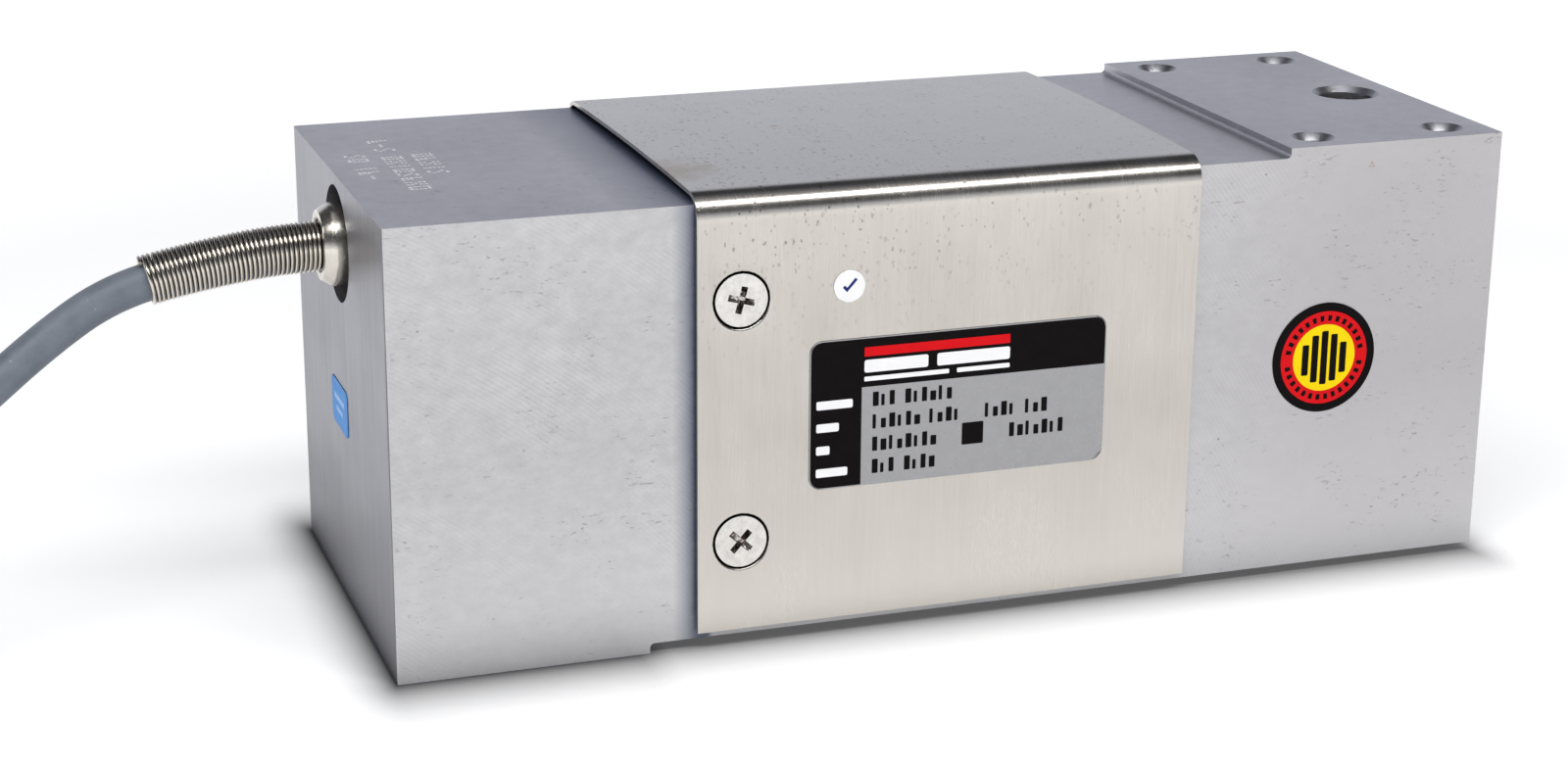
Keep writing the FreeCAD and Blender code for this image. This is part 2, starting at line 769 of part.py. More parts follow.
# ---- bridge: gauges, terminals, wires and board ---------------------------------------------
def gauge_places():
    """Middle of each gauge, and the way along the beam to its terminal strip."""
    places = {}
    for end, x, inward in (("fixed", flexure_x[0], 1), ("live", flexure_x[1], -1)):
        for side, y in (("front", -gauge_offset), ("rear", gauge_offset)):
            places["strain_gauge_%s_%s" % (end, side)] = (x, y, inward)
    return places


def gauge(x, y):
    return block(x - gauge_length / 2, x + gauge_length / 2, y - gauge_width / 2,
                 y + gauge_width / 2, top_z, top_z + gauge_thickness)


def terminal_x(x, inward):
    return x + inward * (gauge_length / 2 + terminal_gap + terminal_length / 2)


def gauge_terminals():
    strips = []
    for x, y, inward in gauge_places().values():
        middle = terminal_x(x, inward)
        strips.append(block(middle - terminal_length / 2, middle + terminal_length / 2,
                            y - terminal_width / 2, y + terminal_width / 2,
                            top_z, top_z + terminal_thickness))
    return Part.makeCompound(strips)


def gauge_wires(board):
    """Four twisted bundles, from the terminals down the wire hole and across to the board."""
    wires = []
    run_z = top_z + terminal_thickness + gauge_wire / 2
    pad_z = pin_z - pad_row_drop
    for x, y, inward in gauge_places().values():
        hole_x = window_x - inward * gauge_wire_gather
        hole_y = math.copysign(gauge_wire_gather, y)
        pad_y = math.copysign(pin_pitch * (2 if inward > 0 else 1), y)
        wire = thin_wire(gauge_wire, [V(terminal_x(x, inward), y, run_z),
                                      V(hole_x, hole_y, run_z),
                                      V(hole_x, hole_y, pad_z),
                                      V(board_face_x - board_thickness / 2, pad_y, pad_z)])
        wires.append(wire.cut(board).Solids[0])
    return wires


def gauge_coating(end, keep_clear):
    """Soft silicone laid over one pair of gauges and their terminals."""
    boxes = [place for name, place in gauge_places().items() if "_%s_" % end in name]
    x, y, inward = boxes[0]
    far_x = terminal_x(x, inward) + inward * terminal_length / 2
    near_x = x - inward * gauge_length / 2
    middle = (near_x + far_x) / 2
    length = abs(far_x - near_x) + 2 * coating_border
    width = 2 * gauge_offset + gauge_width + 2 * coating_border
    pad = round_plate(length, width, coating_corner, coating_height)
    pad.translate(V(middle, 0, top_z))
    return pad.cut(keep_clear)


def compensation_board():
    board = block(board_face_x - board_thickness, board_face_x, -board_width / 2, board_width / 2,
                  board_z - board_height / 2, board_z + board_height / 2)
    holes = [rod(board_screw_tap + 2 * board_clearance, board_thickness,
                 place + X_AXIS * board_spacer_length, X_AXIS) for place in board_screw_places()]
    return board.cut(holes)


def board_spacers():
    return Part.makeCompound([tube(board_spacer_outer, board_screw_tap + 2 * board_clearance,
                                   board_spacer_length, place, X_AXIS)
                              for place in board_screw_places()])


def board_screws():
    screws = []
    for place in board_screw_places():
        grip = board_spacer_length + board_thickness
        shank = rod(board_screw_tap, board_screw_length + grip,
                    place - X_AXIS * board_screw_length, X_AXIS)
        head = rod(board_screw_head, board_screw_head_height, place + X_AXIS * grip, X_AXIS)
        screws.append(shank.fuse(head))
    return Part.makeCompound(screws)


def in_row(number, count, pitch):
    """Where one of a row of like things stands across the board."""
    return (number - (count - 1) / 2) * pitch


def board_pins():
    return Part.makeCompound([rod(pin_size, pin_height,
                                  V(board_face_x, in_row(number, core_count, pin_pitch), pin_z),
                                  X_AXIS)
                              for number in range(core_count)])


def trim_resistors():
    bodies = []
    for number in range(resistor_count):
        y = in_row(number, resistor_count, resistor_length + resistor_gap)
        z = board_z + resistor_lift
        bodies.append(block(board_face_x, board_face_x + resistor_thickness,
                            y - resistor_length / 2, y + resistor_length / 2,
                            z - resistor_height / 2, z + resistor_height / 2))
    return Part.makeCompound(bodies)


def cable_cores():
    """Six insulated cores from the end of the jacket to the board's pins."""
    places = [core_place(number, lead_turn) for number in range(core_count)]
    end_x = board_face_x + pin_height
    cores = []
    for number, (across, up) in enumerate(sorted(places)):
        pin_y = in_row(number, core_count, pin_pitch)
        off = V(0, across, up)
        cores.append(thin_wire(core_size, [cable_route[0] + off,
                                           on_entry(window_wall_x + core_straight) + off,
                                           V(end_x + core_lane, pin_y, pin_z + core_turn),
                                           V(end_x + core_lane, pin_y, pin_z),
                                           V(end_x, pin_y, pin_z)]))
    return cores


def channel_potting(cores):
    """Epoxy plug that closes the wire channel behind the gland."""
    middle = (channel_x + window_wall_x) / 2
    plug = rod(wire_channel, potting_length, on_entry(middle - potting_length / 2), X_AXIS)
    return plug.cut(cores)


# ---- write every piece ------------------------------------------------------------------
def build():
    pieces = {}
    pieces["beam_body"] = beam_body()
    pieces["wrap_cover"] = wrap_cover()
    pieces["cover_screws"] = cover_screws()
    pieces["rating_label"] = rating_label()
    pieces["dot_label"] = dot_label()
    pieces["round_label"] = round_label()
    pieces["end_label"] = end_label()
    for name, (x, y, inward) in gauge_places().items():
        pieces[name] = gauge(x, y)
    pieces["gauge_terminals"] = gauge_terminals()
    board = compensation_board()
    wires = gauge_wires(board)
    pieces["gauge_wires"] = Part.makeCompound(wires)
    bonded = [gauge(x, y) for x, y, inward in gauge_places().values()]
    bonded += gauge_terminals().Solids + wires
    pieces["gauge_coating_fixed"] = gauge_coating("fixed", bonded)
    pieces["gauge_coating_live"] = gauge_coating("live", bonded)
    pieces["compensation_board"] = board
    pieces["board_spacers"] = board_spacers()
    pieces["board_screws"] = board_screws()
    pieces["board_pins"] = board_pins()
    pieces["trim_resistors"] = trim_resistors()
    cores = cable_cores()
    pieces["cable_cores"] = Part.makeCompound(cores)
    pieces["channel_potting"] = channel_potting(cores)
    pieces["gland_gasket"] = gland_gasket()
    pieces["gland_body"] = gland_body()
    pieces["gland_seal"] = gland_seal()
    pieces["gland_nut"] = gland_nut()
    pieces["bend_protector_spring"] = bend_protector_spring()
    coil = cable_coil()
    pieces["cable_tie"] = cable_tie()
    pieces["cable_coil"] = coil
    pieces["cable_lead"] = outside_coil(swept(cable_size, route(cable_route)), coil)
    pieces["cable_tail"] = outside_coil(swept(cable_size, route(tail_route)), coil)
    pieces["end_sleeve"] = end_sleeve()
    for number, name in enumerate(lead_names):
        pieces[name] = lead(number)
    pieces["lead_tips"] = lead_tips()
    return pieces


os.makedirs("parts", exist_ok=True)
for points in (cable_route, tail_route):
    print("cable bend radii:", [round(radius, 1) for arc, radius in corner_arcs(points)])
for node, shape in build().items():
    shape.exportStep("parts/%s.step" % node)
    print(node, len(shape.Solids), round(shape.Volume, 2), shape.isValid())
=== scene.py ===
import json
from math import cos, exp, pi, radians, sin

import bmesh
import bpy
from mathutils import Matrix, Vector


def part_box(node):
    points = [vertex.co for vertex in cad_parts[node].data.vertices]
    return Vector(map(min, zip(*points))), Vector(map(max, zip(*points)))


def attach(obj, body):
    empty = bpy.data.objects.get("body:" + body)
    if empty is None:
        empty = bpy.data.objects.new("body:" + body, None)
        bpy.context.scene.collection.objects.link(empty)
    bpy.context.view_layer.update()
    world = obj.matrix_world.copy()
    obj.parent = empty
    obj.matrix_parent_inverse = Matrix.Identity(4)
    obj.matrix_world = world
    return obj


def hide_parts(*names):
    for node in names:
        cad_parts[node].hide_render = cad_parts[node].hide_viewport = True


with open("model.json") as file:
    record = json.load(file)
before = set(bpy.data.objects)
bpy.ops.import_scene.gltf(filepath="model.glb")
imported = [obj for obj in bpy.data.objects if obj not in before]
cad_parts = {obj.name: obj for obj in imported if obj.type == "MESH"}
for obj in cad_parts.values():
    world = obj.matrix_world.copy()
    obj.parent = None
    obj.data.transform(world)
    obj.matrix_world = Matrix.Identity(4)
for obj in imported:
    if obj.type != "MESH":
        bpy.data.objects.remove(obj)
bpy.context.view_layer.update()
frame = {"nodes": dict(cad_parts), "record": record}


# ---- The beam ----
# The beam is one block of aluminium bar, face-milled on all sides, with the window that makes
# it bend cut right through. Its sides keep the faint arcs of the cutter, its ends the strokes
# of the saw and file, and its edges are broken by hand.
MM = 0.001
X, Y, Z = 0, 1, 2


class Nodes:
    """Steps in a node tree. Each takes numbers, colours or sockets, and gives a socket."""

    def __init__(self, tree):
        self.tree = tree

    def add(self, kind, inputs=(), **settings):
        """A node of a kind, with its inputs set or linked, in order or by name or number."""
        node = self.tree.nodes.new(kind)
        for name, value in settings.items():
            setattr(node, name, value)
        for socket, value in inputs.items() if isinstance(inputs, dict) else enumerate(inputs):
            if isinstance(value, bpy.types.NodeSocket):
                self.tree.links.new(value, node.inputs[socket])
            else:
                node.inputs[socket].default_value = value
        return node

    def maths(self, operation, first, second=0.0, clamp=False):
        return self.add("ShaderNodeMath", [first, second, 0.0], operation=operation,
                        use_clamp=clamp).outputs[0]

    def times(self, first, *others):
        for other in others:
            first = self.maths("MULTIPLY", first, other)
        return first

    def plus(self, first, *others):
        for other in others:
            first = self.maths("ADD", first, other)
        return first

    def span(self, value, low, high, to_low=0.0, to_high=1.0):
        """A value carried from one range to another, and held at its ends."""
        return self.add("ShaderNodeMapRange", [value, low, high, to_low, to_high]).outputs[0]

    def blend(self, share, first, second):
        """One colour over another, by a share from 0 to 1."""
        pair = [c if isinstance(c, bpy.types.NodeSocket) else (*c, 1) for c in (first, second)]
        return self.add("ShaderNodeMix", {0: share, 6: pair[0], 7: pair[1]},
                        data_type="RGBA").outputs[2]


class Finish(Nodes):
    """One procedural finish: a Principled surface and the nodes that feed it, in millimetres."""

    def __init__(self, name, metallic=0.0, roughness=0.5, **sockets):
        self.material = bpy.data.materials.new(name)
        self.material.use_nodes = True
        super().__init__(self.material.node_tree)
        self.surface = self.tree.nodes["Principled BSDF"]
        for socket, value in {"Metallic": metallic, "Roughness": roughness, **sockets}.items():
            self.surface.inputs[socket.replace("_", " ")].default_value = value
        where = self.add("ShaderNodeTexCoord").outputs["Object"]
        self.place = self.add("ShaderNodeVectorMath", {0: where, "Scale": 1 / MM},
                              operation="SCALE").outputs[0]
        facing = self.add("ShaderNodeNewGeometry").outputs["Normal"]
        self.normal = self.add("ShaderNodeSeparateXYZ", [facing]).outputs
        self.xyz = self.add("ShaderNodeSeparateXYZ", [self.place]).outputs

    def sized(self, sizes):
        """The place, counted in patches of a size along each axis."""
        return self.add("ShaderNodeMapping", {0: self.place, 3: sizes},
                        vector_type="TEXTURE").outputs[0]

    def grain(self, size, detail=2.0, rough=0.5):
        """Noise from 0 to 1, in patches of one size or of a size along each axis."""
        sizes = size if isinstance(size, tuple) else (size, size, size)
        return self.add("ShaderNodeTexNoise", {"Vector": self.sized(sizes), "Scale": 1.0,
                                               "Detail": detail, "Roughness": rough}).outputs[0]

    def specks(self, cell, share, stretch=(1, 1, 1), ragged=0.0):
        """1 on small spots, one in each cell of a size, and 0 elsewhere."""
        at = self.sized([cell * s for s in stretch])
        cells = self.add("ShaderNodeTexVoronoi", {"Vector": at, "Scale": 1.0})
        gap = self.plus(cells.outputs["Distance"], ragged)
        return self.span(gap, share * 0.6, share, 1.0, 0.0)

    def spread(self, noise, low, high):
        """A noise's usual range, carried to a range of its own."""
        return self.span(noise, 0.3, 0.7, low, high)

    def facing(self, axis):
        """1 where the surface faces along an axis, either way."""
        return self.maths("GREATER_THAN", self.maths("ABSOLUTE", self.normal[axis]), 0.7)

    def gap_from(self, place, point):
        return self.add("ShaderNodeVectorMath", [place, point], operation="DISTANCE").outputs[1]

    def rings(self, x, z, pitch):
        """Fine circles about an axis along Y, from 0 to 1 across each."""
        flat = self.add("ShaderNodeVectorMath", [self.place, (1, 0, 1)], operation="MULTIPLY")
        gap = self.gap_from(flat.outputs[0], (x, 0, z))
        return self.span(self.maths("SINE", self.times(gap, 2 * pi / pitch)), -1, 1)

    def near(self, x, y, z, radius, soft=0.5):
        """1 within a distance of a point, falling to 0 at a ragged edge."""
        frayed = self.spread(self.grain(radius * 0.6, detail=4), -radius * 0.4, radius * 0.4)
        gap = self.plus(self.gap_from(self.place, (x, y, z)), frayed)
        return self.span(gap, radius * (1 - soft), radius, 1.0, 0.0)

    def crevice(self, reach, low=0.25, high=0.6):
        """1 deep in a hole or gap, where little light comes in, and 0 in the open."""
        node = self.add("ShaderNodeAmbientOcclusion", {"Distance": reach * MM}, samples=5)
        return self.span(node.outputs["AO"], low, high, 1.0, 0.0)

    def feed(self, socket, value):
        self.tree.links.new(value, self.surface.inputs[socket])

    def tint(self, colour, *layers):
        """The surface's colour, with others laid over it in turn, each by its share."""
        for share, other in layers:
            colour = self.blend(share, colour, other)
        self.feed("Base Color", colour)

    def relief(self, *layers):
        """Bumps laid over each other, each a height from 0 to 1 and its depth in millimetres."""
        below = {}
        for height, depth in layers:
            bump = self.add("ShaderNodeBump", {"Distance": depth * MM, "Height": height, **below})
            below = {"Normal": bump.outputs[0]}
        self.feed("Normal", below["Normal"])


def milled_aluminium():
    f = Finish("milled_aluminium", metallic=1.0)
    end_faces = 95.0          # from the beam's middle; what faces outward past it was sawn
    sides = f.facing(Y)
    ends = f.times(f.facing(X), f.maths("GREATER_THAN", f.maths("ABSOLUTE", f.xyz[X]), end_faces))
    clouds = f.grain((26, 26, 18), 5, 0.55)
    mottle = f.grain((3.4, 3.4, 2.2), 5, 0.7)
    flecks = f.grain((1.5, 1.5, 0.5), 3, 0.6)
    sand = f.grain(0.4, 3, 0.7)
    strokes = f.grain((3, 0.5, 34), 4, 0.65)
    # The cutter turned about a point far below the table, past the cable's end.
    lane = f.span(f.grain((26, 26, 12), 3), 0.4, 0.6)
    cutter = f.times(f.rings(-196, -118, 0.74), lane, sides)
    tone = f.plus(f.times(clouds, 0.3), f.times(mottle, 0.5), f.times(sand, 0.2),
                  f.times(cutter, 0.1))
    tone = f.span(tone, 0.37, 0.685)
    pale = f.blend(tone, (0.458, 0.454, 0.464), (0.596, 0.592, 0.602))
    # Painted shade: the sides grow darker towards the live end.
    pale = f.blend(f.span(f.xyz[X], 20, 70, 0, 0.8), pale, (0.455, 0.44, 0.443))
    # Painted light: the sides grow lighter towards the bottom.
    pale = f.blend(f.span(f.xyz[Z], 2, 38, 0.5, 0), pale, (0.68, 0.675, 0.685))
    # Partly painted shade: the top faces take a darker, bluer copy of the sides' colour.
    dark = f.blend(tone, (0.405, 0.40, 0.432), (0.515, 0.508, 0.546))
    sawn = f.blend(f.span(strokes, 0.3, 0.7), (0.24, 0.24, 0.265), (0.36, 0.36, 0.39))
    # Painted shade: the sawn ends darken towards the bottom.
    sawn = f.blend(f.span(f.xyz[Z], 0, 40, 0.75, 0), sawn, (0.13, 0.13, 0.145))
    worn = f.times(f.span(flecks, 0.62, 0.7), f.span(f.grain(9), 0.46, 0.58))
    spots = f.times(f.specks(5.5, 0.05), f.span(f.grain(13), 0.5, 0.6))
    # Painted shade and reflection: a dark navy band beside the cover's edge, also less metallic,
    # reaches further on the top than on the sides.
    edge, top_reach, side_less = -49.0, 12.5, 8.5
    start = f.maths("SUBTRACT", edge, f.maths("SUBTRACT", top_reach, f.times(sides, side_less)))
    film = f.maths("DIVIDE", f.maths("SUBTRACT", f.xyz[X], start),
                   f.maths("SUBTRACT", edge, start), clamp=True)
    film = f.times(f.maths("POWER", film, 1.15), f.span(f.xyz[X], edge + 2, edge + 3, 1, 0),
                   f.spread(mottle, 0.7, 0.9))
    # Low on the sides the metal is made less metallic, and mirrors less of the table and its
    # painted shadow; with the lighter colour there, this is painted light.
    bright = f.maths("SUBTRACT", 1.0, f.times(sides, f.span(f.xyz[Z], 0, 9, 0.95, 0)))
    f.feed("Metallic", f.times(bright, f.span(film, 0.2, 0.9, 1.0, 0.25)))
    # Painted shade: gaps, holes and deep bores darken, except low down near the floor, and sloped
    # faces such as chamfers darken too.
    above_floor = f.span(f.xyz[Z], 4, 9)
    deep = f.times(f.crevice(8, 0.05, 0.32), f.span(f.normal[Z], 0.5, 0.9, 1.0, 0.3))
    slope = f.times(f.span(f.normal[Z], 0.35, 0.5), f.span(f.normal[Z], 0.85, 0.95, 1, 0))
    rust = f.near(74, -37.5, 74.5, 0.8)
    f.tint(f.blend(ends, f.blend(sides, dark, pale), sawn),
           (f.times(worn, 0.45), (0.20, 0.20, 0.215)),
           (f.times(spots, 0.6), (0.16, 0.15, 0.15)),
           # painted shade beside the cover's edge
           (film, (0.032, 0.056, 0.13)),
           (f.times(rust, 0.6), (0.34, 0.17, 0.07)),
           # painted shade in gaps, deep holes and on slopes
           (f.times(f.crevice(3.5, 0.2, 0.66), above_floor), (0.07, 0.09, 0.14)),
           (f.times(deep, above_floor), (0.018, 0.02, 0.03)),
           (f.times(slope, 0.35), (0.12, 0.13, 0.16)))
    f.feed("Roughness", f.plus(f.spread(clouds, 0.36, 0.44), f.spread(sand, -0.03, 0.03)))
    f.relief((sand, 0.02), (cutter, 0.008), (f.times(strokes, ends), 0.015),
             (f.times(worn, -1), 0.02))
    return f.material


def broken(piece, name, width, angle):
    """Edges sharper than an angle, broken by a width."""
    bevel = piece.modifiers.new(name, "BEVEL")
    bevel.width = width * MM
    bevel.segments = 2
    bevel.limit_method = "ANGLE"
    bevel.angle_limit = radians(angle)
    return bevel


def dressed(node, material, edge=0.0):
    """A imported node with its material, smooth faces, and its sharp edges broken by a size."""
    piece = frame["nodes"][node]
    piece.data.materials.clear()
    piece.data.materials.append(material)
    for face in piece.data.polygons:
        face.use_smooth = True
    joined = piece.modifiers.new("joined", "WELD")
    joined.merge_threshold = 0.002 * MM
    if edge:
        broken(piece, "broken_edges", edge, 38)
    even = piece.modifiers.new("flat_faces", "WEIGHTED_NORMAL")
    even.weight = 80
    even.keep_sharp = True


dressed("beam_body", milled_aluminium(), edge=0.22)


# ---- Threads in the mounting holes ----
# The mounting holes are tapped M6. Each thread is a ridge that winds down inside the drilled
# hole, cut in the beam's own metal and left rough by the tap.
BODY = "root"
UP = Vector((0, 0, 1))
thread_pitch = 1.0
thread_height = 0.34
thread_half_root = 0.32       # of the pitch
thread_start = 1.4            # below the hole's mouth
thread_length = 12.0
thread_steps = 24             # in a turn


def box(node):
    """The low and high corners of a node's box, in millimetres."""
    return [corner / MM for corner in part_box(node)]


def polar(radius, angle, z=0.0):
    return Vector((radius * cos(angle), radius * sin(angle), z))


def placed(name, data):
    """An object with its data, in the scene."""
    thing = bpy.data.objects.new(name, data)
    bpy.context.scene.collection.objects.link(thing)
    return thing


def riding(name, data, material):
    """Finished data as a named piece of the part, on its body."""
    data.materials.append(material)
    piece = placed(name, data)
    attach(piece, BODY)
    return piece


def baked(name, mesh):
    """A mesh being built, as finished data."""
    data = bpy.data.meshes.new(name)
    mesh.to_mesh(data)
    mesh.free()
    return data


def as_piece(name, mesh, material, smooth=0, outward=True):
    """A mesh as a piece, smooth except at edges sharper than an angle."""
    if outward:
        bmesh.ops.recalc_face_normals(mesh, faces=mesh.faces)
    data = baked(name, mesh)
    if smooth:
        for face in data.polygons:
            face.use_smooth = True
        data.set_sharp_from_angle(angle=radians(smooth))
    return riding(name, data, material)


def bridge(mesh, first, second):
    """Faces from one loop of corners to the next."""
    for i in range(len(first)):
        j = (i + 1) % len(first)
        mesh.faces.new((first[i], first[j], second[j], second[i]))


def skin(mesh, rings, ends="closed"):
    """Faces between rings of points in mm. The end rings are closed, joined up or left open."""
    loops = [[mesh.verts.new(point * MM) for point in ring] for ring in rings]
    for first, second in zip(loops, loops[1:] + (loops[:1] if ends == "joined" else [])):
        bridge(mesh, first, second)
    if ends == "closed":
        mesh.faces.new(loops[0])
        mesh.faces.new(loops[-1][::-1])
    return loops


def thread_ridge(mesh, mouth, out, hole_radius):
    """A closed V-shaped ridge that winds down inside a hole."""
    turn = UP.rotation_difference(out).to_matrix()
    rings = []
    for step in range(int(thread_length / thread_pitch * thread_steps) + 1):
        angle = 2 * pi * step / thread_steps
        down = step / thread_steps
        rings.append([mouth + turn @ polar(radius, angle, thread_pitch * (rise - down))
                      for radius, rise in ((hole_radius, thread_half_root),
                                           (hole_radius - thread_height, 0.0),
                                           (hole_radius, -thread_half_root))])
    skin(mesh, rings)


def tapped_metal():
    """Aluminium as the tap leaves it, torn a little; it is coloured dark, darkest in the roots, as
    painted shade inside the holes.
    """
    f = Finish("tapped_metal", metallic=1.0, roughness=0.6)
    torn = f.grain((0.5, 0.5, 0.3), 4)
    f.tint((0.10, 0.11, 0.13), (f.span(torn, 0.35, 0.65), (0.24, 0.25, 0.29)),
           (f.crevice(2.0, 0.15), (0.03, 0.03, 0.035)))
    f.relief((torn, 0.02))
    return f.material


mounts = {mount["name"]: mount for mount in frame["record"]["mounts"]}
beam_low, beam_high = box("beam_body")
threads = bmesh.new()
for name, face_z in (("live_end_holes", beam_high.z), ("fixed_end_holes", beam_low.z)):
    pattern = mounts[name]
    sizes = pattern["dims"]
    out = Vector(pattern["axis"])
    for side_x in (-0.5, 0.5):
        for side_y in (-0.5, 0.5):
            mouth = Vector((pattern["pos_m"][X] / MM + side_x * sizes["spacing_x_mm"],
                            pattern["pos_m"][Y] / MM + side_y * sizes["spacing_y_mm"], face_z))
            thread_ridge(threads, mouth - out * thread_start, out, sizes["hole_r_mm"] + 0.02)
as_piece("mounting_threads", threads, tapped_metal())


# ---- Marks punched in the beam's top ----
# Three short rows of plain shapes are punched dot by dot into the top of the fixed end. Each
# dot is a small crater with a raised rim, coloured paler and less metallic than the beam as a
# painted highlight.
def circle(middle, across, up, radius, sides):
    """Points round a circle, in the plane of two directions."""
    angles = [2 * pi * i / sides for i in range(sides)]
    return [middle + (across * cos(a) + up * sin(a)) * radius for a in angles]


def crater(mesh, centre, radius):
    """A rim round a shallow pit, on a face that looks up."""
    rings = [circle(centre + UP * lift, Vector((1, 0, 0)), Vector((0, 1, 0)), radius * share, 10)
             for share, lift in ((1.0, 0.004), (0.72, 0.035), (0.42, 0.006))]
    mesh.faces.new(skin(mesh, rings, "open")[-1])


def clouded(name, first, second, patch, bumps, detail=2.0, gloss=None, **settings):
    """A plain finish: two colours in soft patches, over bumps given as (size, depth, detail).
    Its gloss may vary too, given as (patch, least rough, most rough)."""
    f = Finish(name, **settings)
    f.tint(first, (f.grain(patch, detail), second))
    if gloss:
        f.feed("Roughness", f.spread(f.grain(gloss[0]), *gloss[1:]))
    f.relief(*[(f.grain(size, *fine), depth) for size, depth, *fine in bumps])
    return f.material


# Each shape is drawn on a grid of dots, as strings of filled and empty places.
PUNCHED_SHAPES = {
    "frame": "xxx x.x x.x x.x xxx",
    "dash": "... ... xxx ... ...",
    "cross": "x.x x.x .x. x.x x.x",
    "step": "x.. x.. xx. xx. xxx",
    "post": ".x. .x. .x. .x. .x.",
    "wave": ".xx x.. .x. ..x xx.",
    "gap": "",
}
# Each row: its place from the beam's end, where it starts across the beam, and its shapes.
PUNCHED_ROWS = [
    (18.4, 9.7, "frame step cross post wave"),
    (13.1, 21.7, "step dash wave gap frame cross post frame wave step cross frame"),
    (7.2, 12.0, "wave frame gap post step dash"),
]
dot_radius = 0.36
dot_step = 0.76
shape_step = 3.15
gauged_face_z = box("gauge_terminals")[0].z
punched = bmesh.new()
for from_end, start, shapes in PUNCHED_ROWS:
    for place, shape in enumerate(shapes.split()):
        for line, dots in enumerate(PUNCHED_SHAPES[shape].split()):
            for column, dot in enumerate(dots):
                if dot == "x":
                    across = start - place * shape_step - column * dot_step
                    crater(punched, Vector((beam_low.x + from_end - line * dot_step, across,
                                            gauged_face_z)), dot_radius)
as_piece("punched_marks", punched,
         clouded("punched_metal", (0.62, 0.63, 0.66), (0.80, 0.81, 0.84), 0.3, [(0.12, 0.01)],
                 metallic=0.2, roughness=0.6))


# ---- Strain gauges ----
# Four foil gauges are glued over the two upper flexures. Each is etched constantan on an amber
# polyimide film, with a strip of two solder terminals beside it.
def banded(f, scale, low, high):
    """Stripes across the part, 0 between them and 1 on them."""
    wave = f.add("ShaderNodeTexWave", {0: f.place, "Scale": scale}, bands_direction="Y")
    return f.span(wave.outputs[1], low, high)


def gauge_film():
    f = Finish("gauge_film", roughness=0.3, Coat_Weight=0.4)
    foil = banded(f, 0.62, 0.45, 0.55)
    f.tint((0.62, 0.30, 0.08), (foil, (0.42, 0.36, 0.30)))
    f.feed("Metallic", f.times(foil, 0.9))
    f.relief((foil, 0.01), (f.grain(0.6), 0.01))
    return f.material


def tinned(name):
    return clouded(name, (0.66, 0.62, 0.56), (0.86, 0.85, 0.83), 0.7, [(0.3, 0.03, 3)],
                   metallic=1.0, roughness=0.3)


def wire_enamel():
    f = Finish("wire_enamel", roughness=0.25, Coat_Weight=0.3)
    f.tint((0.27, 0.036, 0.024), (f.span(f.grain(1.5), 0.4, 0.6), (0.45, 0.06, 0.04)))
    f.relief((f.grain(0.4), 0.02))
    return f.material


GAUGE_FILM = gauge_film()
for gauge in ("fixed_front", "fixed_rear", "live_front", "live_rear"):
    dressed("strain_gauge_" + gauge, GAUGE_FILM)
dressed("gauge_terminals", tinned("tinned_copper"), edge=0.05)
dressed("gauge_wires", wire_enamel())


# ---- Coatings over the gauges ----
# Soft silicone is laid over each pair of gauges to keep damp out. It cures milky, with a
# slightly wavy skin.
SILICONE = clouded("silicone", (0.66, 0.63, 0.56), (0.84, 0.82, 0.77), 4,
                   [(3, 0.15), (0.5, 0.02)], detail=3, roughness=0.45, Subsurface_Weight=0.1)
for end in ("fixed", "live"):
    dressed("gauge_coating_" + end, SILICONE, edge=0.25)


# ---- Compensation board ----
# The bridge ends on a small glass-epoxy board on the window's wall: four trim resistors, six
# pins for the cable's cores, two spacers and two screws.
def solder_mask():
    f = Finish("solder_mask", roughness=0.3, Coat_Weight=0.5)
    weave = f.times(f.grain((2, 0.5, 6)), f.grain((2, 6, 0.5)))
    f.tint((0.015, 0.12, 0.045), (f.span(weave, 0.1, 0.4), (0.04, 0.24, 0.10)))
    f.relief((weave, 0.02))
    return f.material


def resistor_glaze():
    f = Finish("resistor_glaze", roughness=0.2, Coat_Weight=0.5)
    f.tint((0.05, 0.14, 0.30), (banded(f, 0.35, 0.8, 0.86), (0.65, 0.60, 0.50)))
    f.relief((f.grain(0.5), 0.02))
    return f.material


def scaled(colour, factor, more=0.0):
    return tuple(min(1.0, factor * c + more) for c in colour)


def moulded(name, colour, roughness=0.45, texture=0.35):
    """Moulded or extruded plastic with a fine skin."""
    return clouded(name, scaled(colour, 0.72), scaled(colour, 1.18, 0.01), texture * 12,
                   [(texture, 0.02, 3)], detail=4,
                   gloss=(texture * 4, roughness - 0.08, roughness + 0.1))


def turned_metal(name, colour):
    return clouded(name, scaled(colour, 0.75), colour, 1.2, [(0.25, 0.015)], detail=4,
                   gloss=(0.8, 0.22, 0.4), metallic=1.0)


dressed("compensation_board", solder_mask(), edge=0.1)
dressed("trim_resistors", resistor_glaze(), edge=0.15)
dressed("board_pins", turned_metal("gilt_pins", (0.80, 0.62, 0.28)), edge=0.1)
dressed("board_spacers", moulded("white_nylon", (0.72, 0.71, 0.66)), edge=0.15)
dressed("board_screws", turned_metal("zinc_screws", (0.62, 0.62, 0.62)), edge=0.12)


# ---- Potting and cores ----
# The cable's six cores run from the gland to the board's pins, through a plug of black epoxy
# that seals the wire channel.
dressed("channel_potting", moulded("epoxy", (0.03, 0.028, 0.025), roughness=0.2), edge=0.1)
dressed("cable_cores", moulded("core_insulation", (0.60, 0.60, 0.56)))


